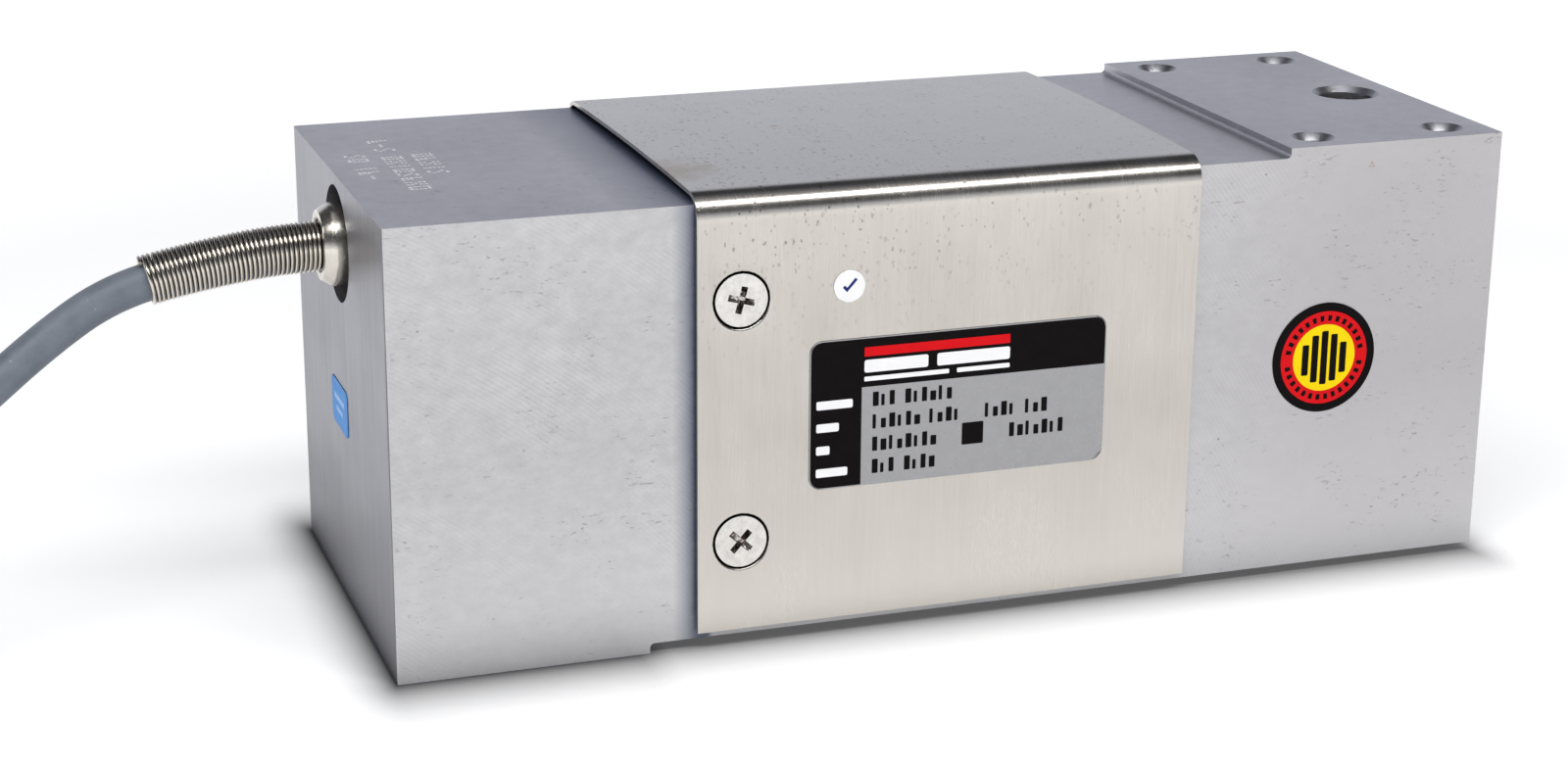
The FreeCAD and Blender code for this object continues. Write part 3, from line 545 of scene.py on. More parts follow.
# ---- Cable gland ----
# The gland screws into a counterbore in the beam's end: a rubber gasket, a nickel-plated
# hexagon body, a rubber seal round the cable, and a turned nose that holds the spring.
def nickel_plate():
    """Bright plating with the sandy grain of the casting under it."""
    f = Finish("nickel_plate", metallic=1.0)
    sand = f.grain(0.3, 4, 0.7)
    f.tint((0.54, 0.50, 0.44), (f.grain(2.0, 4), (0.74, 0.71, 0.65)),
           # Painted shade: the plating darkens in its crevices.
           (f.crevice(2.5, 0.2), (0.05, 0.045, 0.04)))
    f.feed("Roughness", f.spread(sand, 0.14, 0.3))
    f.relief((sand, 0.012), (f.grain(1.4), 0.015))
    return f.material


def lathed(profile, start, way, sides):
    """A solid turned about an axis, from a closed outline of (distance along, radius)."""
    across = way.orthogonal().normalized()
    mesh = bmesh.new()
    skin(mesh, [circle(start + way * along, across, way.cross(across), radius, sides)
                for along, radius in profile], "joined")
    return mesh


NICKEL = nickel_plate()
RUBBER = clouded("gland_rubber", (0.012, 0.012, 0.012), (0.04, 0.04, 0.038), 1.5, [(0.3, 0.03)],
                 roughness=0.6)
dressed("gland_gasket", RUBBER, edge=0.15)
dressed("gland_seal", RUBBER, edge=0.15)
dressed("gland_body", NICKEL, edge=0.25)

nut_low, nut_high = box("gland_nut")
nut_outer = (nut_high.z - nut_low.z) / 2
nut_length = nut_high.x - nut_low.x
nose_outer = nut_outer - 1.0
nose_length = 1.9
seat_radius = 4.475
seat_depth = 3.3
web_radius = 3.45
web_end = 4.3
thread_radius = 5.3
nose = Vector((nut_low.x, 0, (nut_low.z + nut_high.z) / 2))
nut_profile = [
    (0.35, seat_radius), (0.06, seat_radius + 0.25), (0.0, seat_radius + 0.5),
    (0.0, nose_outer - 0.35), (0.08, nose_outer - 0.1), (0.3, nose_outer),
    (nose_length - 0.35, nut_outer - 0.12), (nose_length, nut_outer - 0.02),
    (nose_length + 0.3, nut_outer), (nut_length - 0.45, nut_outer),
    (nut_length - 0.1, nut_outer - 0.15), (nut_length, nut_outer - 0.45),
    (nut_length, thread_radius), (web_end, thread_radius), (web_end, web_radius),
    (seat_depth, web_radius), (seat_depth, seat_radius),
]
gland_nut = as_piece("gland_nose", lathed(nut_profile, nose, Vector((1, 0, 0)), 96),
                     NICKEL, smooth=35)
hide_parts("gland_nut")


# ---- Cable ----
# Nearly three metres of six-core cable in a matte blue-grey jacket. It leaves the gland, bends
# down through its spring to the table, and the rest of it is put away in a tied coil of twelve
# turns, wound from the top layer down.
cable_size = 6.4
cable_route = [
    (-93.0, 0.0, 64.75),
    (-108.0, 0.0, 64.75),
    (-123.0, 0.0, 62.65),
    (-137.5, 0.0, 59.55),
    (-149.0, -1.0, 52.55),
    (-163.0, -7.0, 43.2),
    (-180.0, -19.0, 34.2),
    (-198.0, -30.0, 27.4),
    (-220.0, -34.4, 22.4),
]
tail_route = [
    (-220.0, -34.4, 3.2),
    (-238.0, -34.0, 3.2),
    (-256.0, -28.0, 3.2),
    (-270.0, -14.0, 3.7),
    (-275.0, 4.0, 3.7),
]
coil_middle = Vector((-220.0, 8.0, 0.0))
coil_radius = 36.0
coil_tracks = 3
coil_layers = 4
coil_height = coil_layers * cable_size
points_per_turn = 24
moves_over = 0.8              # share of a turn after which it steps to its next place
waver = 0.22                  # how far a turn strays from its circle
tie_angle = 150.0
tie_reach = 16.0              # degrees either side over which the tie draws the turns in
tie_draws_in = 0.17           # share of the bundle's width
tie_presses = 0.13            # share of its height


def coil_points():
    """Control points of the wound turns: outer to inner track, down a layer, and out again."""
    points = []
    half_step = 180 / points_per_turn
    turns = coil_tracks * coil_layers
    middle = coil_height / 2
    for turn in range(turns):
        layer = coil_layers - 1 - turn // coil_tracks
        inward = (turn // coil_tracks) % 2 == 0
        place = turn % coil_tracks
        last = place == coil_tracks - 1
        for step in range(points_per_turn):
            share = max(0.0, (step / points_per_turn - moves_over) / (1 - moves_over))
            ease = share * share * (3 - 2 * share)
            track = place + (0 if last else ease)
            from_outside = track if inward else coil_tracks - 1 - track
            level = layer - (ease if last and turn < turns - 1 else 0)
            bulge = 0.25 * cable_size * sin(pi * share) if last else 0
            theta = -90 - half_step - 360 * step / points_per_turn
            near_tie = exp(-(((theta - tie_angle + 180) % 360 - 180) / tie_reach) ** 2)
            off = (1 - from_outside) * cable_size * (1 - tie_draws_in * near_tie)
            off += -bulge if inward else bulge
            off += waver * sin(radians(3 * theta) + 2.1 * turn) * (1 - near_tie)
            radius = (coil_radius + off) / cos(radians(half_step))
            height = ((level + 0.5) * cable_size - middle) * (1 - tie_presses * near_tie)
            points.append(coil_middle + polar(radius, radians(theta), middle + height))
    return points


def spline(name, points, thickness, material):
    """A round piece along one smooth curve through its control points' runs."""
    data = bpy.data.curves.new(name, "CURVE")
    data.dimensions = "3D"
    data.resolution_u = 8
    data.bevel_depth = thickness / 2 * MM
    data.bevel_resolution = 6
    data.use_fill_caps = True
    line = data.splines.new("NURBS")
    line.points.add(len(points) - 1)
    for spot, point in zip(line.points, points):
        spot.co = (*(Vector(point) * MM), 1)
    line.order_u = 3
    line.use_endpoint_u = True
    return riding(name, data, material)


def jacket():
    """Matte extruded jacket: soft clouding, a dusting of lint, and a slightly uneven skin."""
    f = Finish("cable_jacket")
    cloud = f.grain(5, 5, 0.65)
    lint = f.times(f.specks(2.6, 0.07, (1, 1.6, 0.7)), f.span(f.grain(7), 0.45, 0.6))
    f.tint((0.135, 0.156, 0.188), (f.span(cloud, 0.3, 0.7), (0.195, 0.218, 0.256)),
           (f.times(lint, 0.7), (0.62, 0.64, 0.68)))
    f.feed("Roughness", f.spread(cloud, 0.42, 0.6))
    f.relief((f.grain(0.5, 3), 0.03), (f.grain(3.5), 0.1))
    return f.material


cable = spline("cable", cable_route + coil_points() + tail_route, cable_size, jacket())
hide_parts("cable_lead", "cable_coil", "cable_tail")


# ---- Bend-protection spring ----
# A close-wound stainless spring is pressed into the gland's nose and follows the cable for
# the first few centimetres, so that it can't kink there. Its free end lifts a little off it.
spring_size = 8.6
wire_size = 0.74
wire_pitch = 0.78
wire_steps = 28               # in a turn
spring_lift = 0.3             # how far the free end stands up off the cable
spring_short = 3.3            # the free end's tilt takes this much of its reach


def centreline(piece):
    """Points along a curve piece's own line, in millimetres, with the distance to each."""
    bare = piece.data.copy()
    bare.bevel_depth = 0
    probe = placed("probe", bare)
    graph = bpy.context.evaluated_depsgraph_get()
    line = bpy.data.meshes.new_from_object(probe.evaluated_get(graph))
    points = [vertex.co / MM for vertex in line.vertices]
    bpy.data.objects.remove(probe)
    bpy.data.curves.remove(bare)
    bpy.data.meshes.remove(line)
    reach = [0.0]
    for before, after in zip(points, points[1:]):
        reach.append(reach[-1] + (after - before).length)
    return points, reach


def along_line(points, reach, distance):
    """Place and heading at a distance along a line of points."""
    i = 1
    while i < len(reach) - 1 and reach[i] < distance:
        i += 1
    share = (distance - reach[i - 1]) / (reach[i] - reach[i - 1])
    return points[i - 1].lerp(points[i], share), (points[i] - points[i - 1]).normalized()


def wound_wire(points, reach, start, end):
    """The spring's wire, wound round a stretch of the cable's line as a tube of its own."""
    total = int((end - start) / wire_pitch * wire_steps)
    radius = (spring_size - wire_size) / 2
    rings = []
    for step in range(total + 1):
        centre, heading = along_line(points, reach, start + (end - start) * step / total)
        side = heading.cross(UP).normalized()
        up = side.cross(heading)
        angle = 2 * pi * step / wire_steps
        out = side * cos(angle) + up * sin(angle)
        around = up * cos(angle) - side * sin(angle)
        around = (around * radius + heading * wire_pitch / (2 * pi)).normalized()
        middle = centre + up * (spring_lift * step / total) + out * radius
        rings.append(circle(middle, out, out.cross(around), wire_size / 2, 10))
    mesh = bmesh.new()
    skin(mesh, rings)
    return mesh


def spring_wire():
    f = Finish("spring_wire", metallic=1.0)
    # Painted shade: the wire darkens where it faces up and in the gaps between its turns.
    f.tint((0.52, 0.48, 0.41), (f.grain(2.2, 4), (0.74, 0.70, 0.63)),
           (f.span(f.normal[Z], 0.5, 0.85, 0, 0.55), (0.11, 0.09, 0.08)),
           (f.crevice(0.6, 0.25, 0.8), (0.04, 0.028, 0.026)))
    f.feed("Roughness", f.spread(f.grain(0.6), 0.16, 0.26))
    f.relief((f.grain(0.6), 0.006))
    return f.material


cable_points, cable_reach = centreline(cable)
spring_ends = []
for x in (nut_low.x + seat_depth, box("bend_protector_spring")[0].x + spring_short):
    spring_ends.append(next(d for p, d in zip(cable_points, cable_reach) if p.x < x))
spring = as_piece("bend_spring", wound_wire(cable_points, cable_reach, *spring_ends),
                  spring_wire(), smooth=60)
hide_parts("bend_protector_spring")


# ---- Cable tie ----
# A black nylon tie holds the coil. Its strap goes once round the bundle through a square
# ratchet head, and the end is cut off just past it.
coil_inner = coil_radius - coil_tracks * cable_size / 2
coil_outer = coil_radius + coil_tracks * cable_size / 2
strap_width = 3.4
strap_thickness = 1.1
strap_chamfer = 0.25
head_half = 2.9
tooth_pitch = 1.0


def rounded_box(x, z, width, height, corner, steps_round=6):
    """Outline of a box with rounded corners, counterclockwise from its lower right."""
    corner = max(0.01, min(corner, width / 2 - 0.001, height / 2 - 0.001))
    left, right = x + corner, x + width - corner
    low, high = z + corner, z + height - corner
    outline = []
    for cx, cz, begin in ((right, low, -90), (right, high, 0), (left, high, 90), (left, low, 180)):
        for i in range(steps_round + 1):
            angle = radians(begin + 90 * i / steps_round)
            outline.append((cx + corner * cos(angle), cz + corner * sin(angle)))
    return outline


def strap_outline(inset, corner):
    """The strap's path round the bundle, as (radius, height) points."""
    return rounded_box(coil_inner + inset, inset, coil_outer - coil_inner - 2 * inset,
                       coil_height - 2 * inset, corner, 5)


def at_tie(radius, sideways, height):
    """A place measured out from the coil's middle, in the direction of its tie."""
    angle = radians(tie_angle)
    return coil_middle + polar(radius, angle, height) + polar(sideways, angle + pi / 2)


def small_block(mesh, low, high, bevel):
    """A block with broken edges at the tie, between two corners."""
    block = bmesh.new()
    bmesh.ops.create_cube(block, size=1.0)
    for vertex in block.verts:
        vertex.co = [low[i] + (high[i] - low[i]) * (vertex.co[i] + 0.5) for i in range(3)]
    bmesh.ops.bevel(block, geom=block.edges[:], offset=bevel, segments=2, affect="EDGES",
                    profile=0.6)
    for vertex in block.verts:
        vertex.co = at_tie(*vertex.co) * MM
    held = baked("held", block)
    mesh.from_mesh(held)
    bpy.data.meshes.remove(held)


tie_mesh = bmesh.new()
outer = strap_outline(0.05, 3.2)
inner = strap_outline(strap_thickness, 2.4)
half_width = strap_width / 2
skin(tie_mesh, [[at_tie(r, side, h) for r, h in outline] for outline, side in
                ((outer, half_width - strap_chamfer), (outer, strap_chamfer - half_width),
                 (inner, -half_width), (inner, half_width))], "joined")
# The ratchet head, the strap's cut end above it, and the strap's teeth clear of the head.
mid = coil_height / 2
small_block(tie_mesh, (coil_outer - 0.1, -head_half, mid - 2.6),
            (coil_outer + 4.4, head_half, mid + 2.6), 0.5)
small_block(tie_mesh, (coil_outer + 1.0, -1.7, mid + 2.4), (coil_outer + 2.1, 1.7, mid + 5.6), 0.2)
for tooth in range(9):
    height = coil_height - 6.0 - tooth * tooth_pitch
    if abs(height - mid) > head_half + 0.3:
        small_block(tie_mesh, (coil_outer - 0.2, -1.2, height),
                    (coil_outer - 0.02, 1.2, height + tooth_pitch / 2), 0.05)
tie = as_piece("coil_tie", tie_mesh,
               moulded("black_nylon", (0.018, 0.018, 0.019), roughness=0.38, texture=0.25),
               smooth=35)
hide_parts("cable_tie")


# ---- End sleeve, leads and tinned tips ----
# The cable's far end is stripped back to six coloured leads. Black shrink sleeve covers the
# end of the jacket, and each lead's strands are bared, twisted and tinned.
sleeve_overlap = 9.0
sleeve_profile = [
    (0.0, 3.3), (0.15, 3.6), (0.5, 3.68), (4.0, 3.66), (8.4, 3.64), (9.4, 3.5), (10.6, 3.25),
    (12.6, 3.12), (14.8, 3.1), (15.6, 3.06), (15.8, 2.9), (15.7, 2.74), (14.0, 2.72),
    (10.2, 2.8), (9.2, 3.21), (0.3, 3.21),
]
core_size = 1.3
core_ring = 1.8
first_core = 15.0             # degrees round the cable
lead_straight = 10.0
lead_down = (31.0, 3.6)       # where the leads reach the table: along, and apart
lead_end = (52.0, 6.5)
lead_colours = {
    "lead_red": (0.48, 0.03, 0.02),
    "lead_black": (0.018, 0.018, 0.018),
    "lead_green": (0.02, 0.22, 0.06),
    "lead_white": (0.78, 0.78, 0.75),
    "lead_blue": (0.02, 0.08, 0.42),
    "lead_brown": (0.16, 0.07, 0.03),
}
strand_size = 0.3
strand_step = 0.42
strand_steps = 15
strand_twist = 0.14           # turns in a step

tail_end = Vector(tail_route[-1])
tail_way = (tail_end - Vector(tail_route[-2])).normalized()
# Thin shrink film: soft sheen and shallow wrinkles across it.
film = clouded("shrink_film", (0.0154, 0.0154, 0.0168), (0.022, 0.022, 0.024), 3,
               [((4, 0.8, 4), 0.08, 3), (0.4, 0.01)], roughness=0.35)
sleeve = as_piece("end_shrink_sleeve",
                  lathed(sleeve_profile, tail_end - tail_way * sleeve_overlap, tail_way, 48),
                  film, smooth=35)
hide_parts("end_sleeve")


def twisted_tip(mesh, start, out):
    """Six strands twisted round a seventh, drawn in a little towards their end."""
    flat = out.cross(UP).normalized()
    lift = flat.cross(out)
    for strand in range(7):
        rings = []
        for i in range(strand_steps):
            spin = 2 * pi * (strand / 6 + strand_twist * i)
            off = 0 if strand == 6 else 0.26 - 0.05 * i / (strand_steps - 1)
            middle = start + out * (strand_step * i)
            middle += (flat * cos(spin) + lift * sin(spin)) * off
            rings.append(circle(middle, flat, lift, strand_size / 2, 6))
        skin(mesh, rings)


side_way = tail_way.cross(UP)
core_places = [polar(core_ring, radians(first_core + 60 * n)) for n in range(6)]
fan_order = sorted(range(6), key=lambda n: core_places[n].x)
tip_mesh = bmesh.new()
for number, (name, colour) in enumerate(lead_colours.items()):
    step = fan_order.index(number) - 2.5
    begin = tail_end + side_way * core_places[number].x + UP * core_places[number].y
    middle, end = [tail_end + tail_way * along + side_way * (step * apart)
                   for along, apart in (lead_down, lead_end)]
    middle.z = end.z = core_size / 2
    bow = side_way * (0.9 * sin(2.4 * number + 0.6))
    points = [begin, begin + tail_way * lead_straight, middle + bow,
              end - (end - middle) * 0.3, end]
    lead = spline("insulated_" + name, points, core_size, moulded(name, colour, 0.32, 0.2))
    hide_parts(name)
    twisted_tip(tip_mesh, end, (end - middle).normalized())
tips = as_piece("tinned_lead_tips", tip_mesh, tinned("tinned_strands"), smooth=35)
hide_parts("lead_tips")


# ---- Cover ----
# One sheet of stainless steel, 0.8 mm thick, folded over the beam, with its brushing running
# up the sides and across the top. The seats of its four screws are pressed in cold, so their
# mouths are softly rounded.
sheet_thickness = 0.8
fold_reach = 4.9
fold_steps = 16
top_steps = 16
panel_steps = 8
crown = 0.5
shoulder_drop = 0.3
seat_patch = 6.2
patch_steps = 8
head_radius = 4.5
cover_low, cover_high = box("wrap_cover")
screws_low, screws_high = box("cover_screws")
screw_x = (screws_low.x + screws_high.x) / 2
screw_heights = [screws_low.z + head_radius, screws_high.z - head_radius]
# Each ring of a pressed seat: its radius, and how far it lies below the panel's face.
SEAT_RINGS = [(5.5, 0.0), (5.2, 0.02), (5.03, 0.07), (4.93, 0.18), (4.88, 0.34),
              (4.84, 0.6), (4.5, 0.85), (3.95, 1.25), (3.35, 1.64)]


def steps(first, last, count):
    return [first + (last - first) * i / count for i in range(count + 1)]


def fold_profile():
    """Outline of the folded sheet's outside, front lower edge to back lower edge."""
    half = cover_high.y
    shoulder = cover_high.z - crown - shoulder_drop
    front = [(-half, cover_low.z)]
    for middle in screw_heights:
        front += [(-half, z) for z in steps(middle - seat_patch, middle + seat_patch, patch_steps)]
    # The fold is tightest halfway round, and eases into the two faces.
    curve = [(0.0, 0.0)]
    for i in range(fold_steps):
        share = (i + 0.5) / fold_steps
        angle = radians(90) * (0.35 * share + 0.65 * share * share * (3 - 2 * share))
        curve.append((curve[-1][0] + sin(angle), curve[-1][1] + cos(angle)))
    front += [(-half + fold_reach * across / curve[-1][0],
               shoulder - fold_reach + fold_reach * up / curve[-1][1]) for across, up in curve]
    flat = half - fold_reach
    top = [(y, shoulder + crown * (1 - (y / flat) ** 2))
           for y in steps(-flat, flat, top_steps)[1:-1]]
    return front + top + [(-y, z) for y, z in reversed(front)]


def folded_sheet():
    """The sheet's outside as a grid, with a pressed seat in place of four of its patches."""
    patch_end = screw_x + seat_patch
    lines = [cover_low.x] + steps(screw_x - seat_patch, patch_end, patch_steps)
    lines += steps(patch_end, cover_high.x, panel_steps)[1:]
    profile = fold_profile()
    mesh = bmesh.new()
    grid = [[mesh.verts.new(Vector((x, y, z)) * MM) for x in lines] for y, z in profile]
    seats = []
    for i, height in enumerate(screw_heights):
        first = 1 + i * (patch_steps + 1)
        seats += [(first, -1, height), (len(profile) - 1 - first - patch_steps, 1, height)]
    taken = {(first + i, 1 + j) for first, side, z in seats
             for i in range(patch_steps) for j in range(patch_steps)}
    for i in range(len(profile) - 1):
        for j in range(len(lines) - 1):
            if (i, j) not in taken:
                mesh.faces.new((grid[i][j], grid[i][j + 1], grid[i + 1][j + 1], grid[i + 1][j]))
    for first, side, z in seats:
        last = first + patch_steps
        border = [grid[first][1 + j] for j in range(patch_steps)]
        border += [grid[first + i][1 + patch_steps] for i in range(patch_steps)]
        border += [grid[last][1 + patch_steps - j] for j in range(patch_steps)]
        border += [grid[last - i][1] for i in range(patch_steps)]
        middle = Vector((screw_x, side * cover_high.y, z))
        outer_ring = border
        for radius, depth in SEAT_RINGS:
            sunk = middle - Vector((0, side * depth, 0))
            ring = [mesh.verts.new((sunk + (vertex.co / MM - middle).normalized() * radius) * MM)
                    for vertex in border]
            bridge(mesh, outer_ring, ring)
            outer_ring = ring
    for vertex in [v for v in mesh.verts if not v.link_faces]:
        mesh.verts.remove(vertex)
    return mesh


def brushed_stainless():
    f = Finish("brushed_stainless", metallic=1.0)
    top = f.maths("GREATER_THAN", f.normal[Z], 0.8)
    fine = f.grain((0.16, 7, 7), 3, 0.6)
    broad = f.grain((1.3, 60, 60), 3)
    clouds = f.grain((14, 14, 20), 5, 0.6)
    tone = f.plus(f.times(fine, 0.4), f.times(broad, 0.15), f.times(clouds, 0.45))
    tone = f.span(tone, 0.33, 0.67)
    front = f.blend(tone, (0.485, 0.457, 0.416), (0.587, 0.56, 0.518))
    # Painted light: the front grows lighter towards the bottom.
    front = f.blend(f.span(f.xyz[Z], 3, 34, 0.55, 0), front, (0.675, 0.645, 0.60))
    # Partly painted shade: the top takes a darker, greyer copy of the front's colour.
    upper = f.blend(tone, (0.385, 0.373, 0.362), (0.44, 0.428, 0.416))
    # Fine etched specks, thickest under the fold at the cable's end.
    near_left = f.span(f.xyz[X], 30, -40)
    where = f.times(f.maths("POWER", f.span(f.xyz[Z], 46, 75), 1.5),
                    f.span(near_left, 0, 1, 0.5, 1.0))
    ragged = f.spread(f.grain(0.45, 3, 0.7), -0.16, 0.16)
    etched = f.maths("MAXIMUM", f.specks(2.1, 0.2, (0.8, 1, 1.2), ragged),
                     f.specks(1.2, 0.2, (0.8, 1, 1.3), ragged))
    etched = f.times(etched, f.span(f.grain(4.5, 3), 0.41, 0.54), where)
    stain = f.near(cover_low.x + 1, -22, cover_high.z, 8, 0.9)
    drop = f.near(cover_low.x + 27.5, 3, cover_high.z, 0.9)
    f.tint(f.blend(top, front, upper), (etched, (0.20, 0.175, 0.15)),
           (f.times(stain, 0.7), (0.26, 0.20, 0.14)), (f.times(drop, 0.6), (0.22, 0.12, 0.07)),
           # painted shade in narrow gaps, such as round the screw seats
           (f.crevice(0.8, 0.25, 0.7), (0.03, 0.025, 0.025)))
    f.feed("Roughness", f.plus(f.spread(fine, 0.22, 0.27), f.spread(clouds, -0.02, 0.03)))
    f.relief((clouds, 0.02), (fine, 0.0016), (etched, -0.01))
    return f.material


cover = as_piece("folded_cover", folded_sheet(), brushed_stainless(), smooth=180,
                 outward=False)
thick = cover.modifiers.new("sheet", "SOLIDIFY")
thick.thickness = sheet_thickness * MM
thick.offset = -1
broken(cover, "cut_edges", 0.1, 60).harden_normals = True
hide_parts("wrap_cover")


# ---- Cover screws ----
# Four M5 countersunk screws hold the cover, two on each side. They are stainless, with cold
# headed cross recesses whose walls are painted darker as shade.
def screw_steel():
    f = Finish("screw_steel", metallic=1.0)
    clouds = f.grain(1.2, 5, 0.65)
    # Painted shade: below the panel's face the steel darkens in patches, and most in the crevices.
    deep = f.maths("LESS_THAN", f.maths("ABSOLUTE", f.xyz[Y]), cover_high.y - 0.2)
    painted_recess_shade = f.times(deep, f.span(f.grain(0.7, 3), 0.42, 0.58, 0.1, 0.95))
    f.tint((0.58, 0.56, 0.53), (f.span(clouds, 0.3, 0.7), (0.76, 0.74, 0.71)),
           (painted_recess_shade, (0.11, 0.08, 0.06)), (f.crevice(0.7), (0.03, 0.025, 0.022)))
    f.feed("Roughness", f.spread(f.grain(0.5), 0.12, 0.26))
    f.relief((f.grain(0.3, 3), 0.015), (f.grain(0.9), 0.02))
    return f.material


dressed("cover_screws", screw_steel(), edge=0.1)


# ---- Rating label ----
# A printed foil label: silver, with a black band along its top and a black column for the
# names of its rows. Plain bars stand where a maker would print words and figures.
def printed(name, colour, roughness=0.35, metallic=0.0):
    return clouded(name, colour, scaled(colour, 1.12, 0.003), 2.5, [(0.5, 0.006)], detail=4,
                   gloss=(1.1, roughness - 0.05, roughness + 0.08), metallic=metallic,
                   Specular_IOR_Level=0.03)


INK_BLACK = printed("black_ink", (0.005, 0.004, 0.004), 0.5)
INK_WHITE = printed("white_ink", (0.88, 0.88, 0.88))
INK_RED = printed("red_ink", (0.66, 0.008, 0.012))
ink_thickness = 0.02


def stuck_on(name, label, shapes, ink, layer=0):
    """Outlines of (across, up) on a label's face, as thin closed plates in a layer of ink."""
    low, high = box(label)
    mesh = bmesh.new()
    for outline in shapes:
        rings = []
        for out in (layer * ink_thickness, (layer + 1) * ink_thickness):
            if label == "end_label":
                rings.append([Vector((low.x - out, high.y - x, low.z + z)) for x, z in outline])
            else:
                rings.append([Vector((low.x + x, low.y - out, low.z + z)) for x, z in outline])
        skin(mesh, rings)
    as_piece(name, mesh, ink)


dressed("rating_label", printed("silver_foil", (0.33, 0.33, 0.34), 0.3, 0.8))
label_width = 53.6
label_height = 25.9
label_corner = 2.0
margin = 0.2
column = 9.0                  # width of the black column
field_top = label_height - 8.6
row_step = 3.95
mark_step = 1.5

right, top = label_width - margin, label_height - margin
whole = rounded_box(margin, margin, right - margin, top - margin, label_corner)
black_field = [(margin + column, margin), (margin + column, field_top), (right, field_top)]
black_field += whole[len(whole) // 4:]
stuck_on("rating_black_field", "rating_label", [black_field], INK_BLACK)
stuck_on("rating_red_stripe", "rating_label",
         [rounded_box(column + 0.6, label_height - 3.3, 26.2, 1.6, 0.1)], INK_RED, layer=1)
# Each bar of the title: its place right of the column and down from the top, and its size.
title = [(0.6, 6.1, 11.4, 2.2, 0.4), (13.6, 6.1, 13.2, 2.2, 0.4),
         (0.6, 7.6, 15.2, 0.8, 0.2), (17.2, 7.6, 9.6, 0.8, 0.2)]
white = [rounded_box(column + x, label_height - down, *size) for x, down, *size in title]
dark = []
# Each row: the width of its name, then of the groups on its left and right, and where those on
# the right begin.
rows = [(6.4, (4.6, 9.0), (), 22.5), (4.0, (9.0, 6.2), (6.2, 4.6), 22.5),
        (2.4, (12.0,), (10.6,), 27.1), (5.6, (4.6, 6.2), (), 22.5)]
for row, (name_width, left_words, right_words, right_start) in enumerate(rows):
    z = field_top - 3.5 - row * row_step
    white.append(rounded_box(1.2, z + 0.2, name_width, 1.5, 0.3))
    for begin, words in ((2.2, left_words), (right_start, right_words)):
        x = column + begin
        for width in words:
            for i in range(int(width / mark_step)):
                wide = (1.05, 0.6, 0.9)[(i + row) % 3]
                tall = (2.5, 2.0, 2.5, 1.7)[(i + 2 * row) % 4]
                dark.append(rounded_box(x + i * mark_step, z, wide, tall, 0.15))
            x += width + 1.2
dark.append(rounded_box(column + 18.4, field_top - 12.0, 3.9, 3.9, 0.2))
stuck_on("rating_white_marks", "rating_label", white, INK_WHITE, layer=1)
stuck_on("rating_dark_marks", "rating_label", dark, INK_BLACK)


# ---- Dot, round and end labels ----
# Three stickers: a white inspection dot on the cover, a round seal in black, red and yellow on
# the live end, and a blue tag on the cable end. Each carries only a plain device.
dressed("dot_label", INK_WHITE)
tick = [(1.55, 2.55), (2.3, 1.75), (4.1, 3.75), (3.75, 4.1), (2.32, 2.5), (1.9, 2.92)]
stuck_on("dot_tick", "dot_label", [tick], printed("navy_ink", (0.02, 0.03, 0.16)))

dressed("round_label", INK_BLACK)
seal = 10.0                   # the seal's middle, across and up
bar_step = 1.85
bar_width = 1.3
tick_ring = (6.75, 7.75)
tick_half = 0.05              # radians


def on_seal(radius, angle):
    return seal + radius * cos(angle), seal + radius * sin(angle)


def disc(radius):
    return [on_seal(radius, 2 * pi * i / 64) for i in range(64)]


stuck_on("seal_red_ring", "round_label", [disc(8.5)], INK_RED)
stuck_on("seal_yellow_field", "round_label", [disc(6.1)],
         printed("yellow_ink", (0.92, 0.665, 0.006)), layer=1)
bars = [rounded_box(seal - 4.35 + i * bar_step, seal + low_z, bar_width, high_z - low_z, 0.25)
        for i, (low_z, high_z) in enumerate(((-3.0, 2.6), (-4.4, 4.2), (-4.9, 4.9), (-4.4, 4.2),
                                             (-3.0, 2.6)))]
stuck_on("seal_bars", "round_label", bars, INK_BLACK, layer=2)
near, far = tick_ring
ticks = [[on_seal(near, angle - tick_half), on_seal(far, angle - tick_half),
          on_seal(far, angle + tick_half), on_seal(near, angle + tick_half)]
         for angle in [2 * pi * i / 30 for i in range(30) if i not in (0, 15)]]
stuck_on("seal_ring_marks", "round_label", ticks, INK_BLACK, layer=1)

dressed("end_label", printed("blue_ink", (0.07, 0.30, 0.72)))
stuck_on("end_tag_bars", "end_label", [rounded_box(2.2, 4.6, 8.6, 1.0, 0.3),
                                       rounded_box(3.8, 2.6, 5.4, 0.9, 0.3)],
         printed("pale_ink", (0.32, 0.52, 0.85)))


# ---- Floor, light and camera ----
# The part stands on a plain pale table in a white studio: one long soft light above and in
# front, a grey ceiling, and a pale grey-blue backdrop for the top faces to mirror.
shade_reach = 24.5
foot_end_x = -53.5            # past it the beam stands off the table, and its shade is fainter


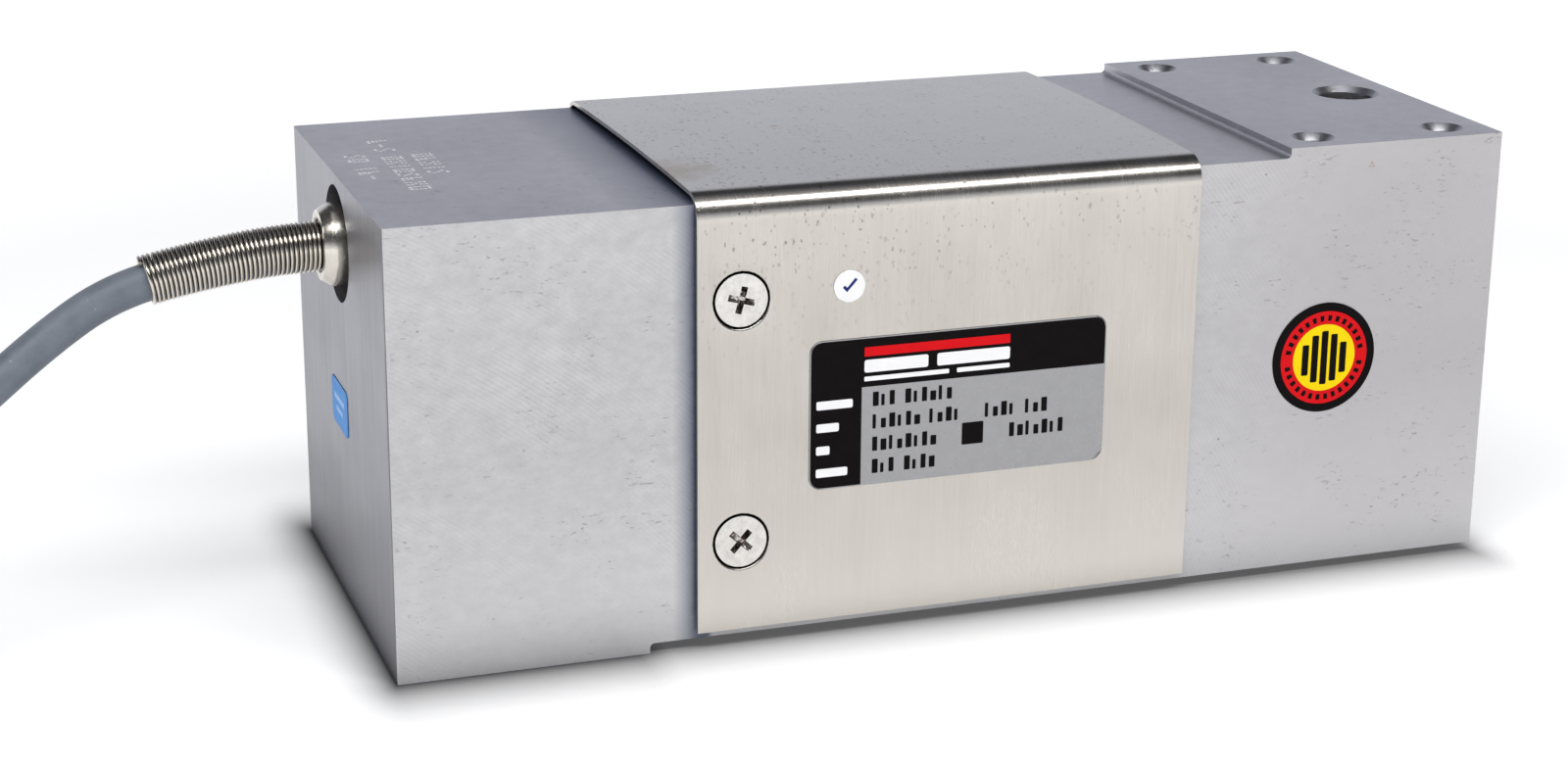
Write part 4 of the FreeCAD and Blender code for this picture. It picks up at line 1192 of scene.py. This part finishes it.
def white_table():
    """Matt white board, a little cloudy, with a soft shadow painted close round the beam's foot,
    and a painted glow, dimmed in that shadow, that grows away from the part.
    """
    f = Finish("white_table", roughness=0.9, Emission_Color=(1, 1, 1, 1))
    past_end, past_side = [
        f.maths("SUBTRACT", f.maths("ABSOLUTE", f.xyz[axis]), beam_high[axis]) for axis in (X, Y)]
    past_end = f.maths("POWER", f.times(f.maths("MAXIMUM", past_end, 0.0), 2.1), 2.0)
    past_side = f.maths("POWER", f.maths("MAXIMUM", past_side, 0.0), 2.0)
    past = f.maths("SQRT", f.plus(past_end, past_side))
    past = f.plus(past, f.span(f.xyz[X], foot_end_x - 5.5, foot_end_x, 0, 3))
    shade = f.maths("POWER", f.span(past, 0, shade_reach, 1, 0), 2.0)
    f.tint((0.925, 0.925, 0.925), (f.grain(400, 3), (0.94, 0.94, 0.94)),
           (shade, (0.05, 0.05, 0.053)))
    gap = f.add("ShaderNodeVectorMath", [f.place], operation="LENGTH").outputs[1]
    glow = f.span(gap, 280, 900, 0.37, 1.15)
    f.feed("Emission Strength", f.times(glow, f.span(shade, 0, 1, 1, 0)))
    f.relief((f.grain(60), 0.02))
    return f.material


floor_mesh = bmesh.new()
bmesh.ops.create_grid(floor_mesh, x_segments=2, y_segments=2, size=4.0)
floor_data = baked("floor", floor_mesh)
floor_data.materials.append(white_table())
placed("floor", floor_data)

light_place = Vector((-0.1, -0.6, 1.15))
light_target = Vector((0, 0, 0.03))
light = bpy.data.lights.new("overhead_light", "AREA")
light.shape = "RECTANGLE"
light.size, light.size_y = 1.8, 0.38
light.energy = 14
lamp = placed("overhead_light", light)
lamp.location = light_place
lamp.rotation_euler = (light_target - light_place).to_track_quat("-Z", "Y").to_euler()

# The room is dark round the sides, a middle grey straight overhead, and pale low down behind
# the part, where a backdrop would stand.
world = bpy.data.worlds.new("studio")
world.use_nodes = True
bpy.context.scene.world = world
room = Nodes(world.node_tree)
sky = room.tree.nodes["Background"]
way = room.add("ShaderNodeSeparateXYZ",
               [room.add("ShaderNodeTexCoord").outputs["Generated"]]).outputs
backdrop_top = room.span(way[Y], -0.1, 0.4, 0.13, 0.46)
backdrop = room.span(room.maths("SUBTRACT", way[Z], backdrop_top), 0.0, 0.16, 1.0, 0.0)
above = room.blend(room.span(way[Z], 0.9, 0.985), (0.05, 0.05, 0.055), (0.42, 0.42, 0.44))
room.tree.links.new(room.blend(backdrop, above, (0.78, 0.80, 0.87)), sky.inputs["Color"])
sky.inputs["Strength"].default_value = 1.0
bpy.context.scene.view_settings.view_transform = "Standard"

camera_data = bpy.data.cameras.new("camera")
camera_data.sensor_width = 36.0
camera_data.lens = 68.487
camera = placed("camera", camera_data)
camera_right = Vector((0.94514563, -0.32657741, 0.00685036))
camera_up = Vector((0.09288436, 0.28880368, 0.95287194))
camera_back = Vector((-0.31316486, -0.89996646, 0.30329547))
aim = Matrix((camera_right, camera_up, camera_back)).transposed().to_4x4()
aim.translation = Vector((-0.187989, -0.481576, 0.194644))
camera.matrix_world = aim
bpy.context.scene.camera = camera
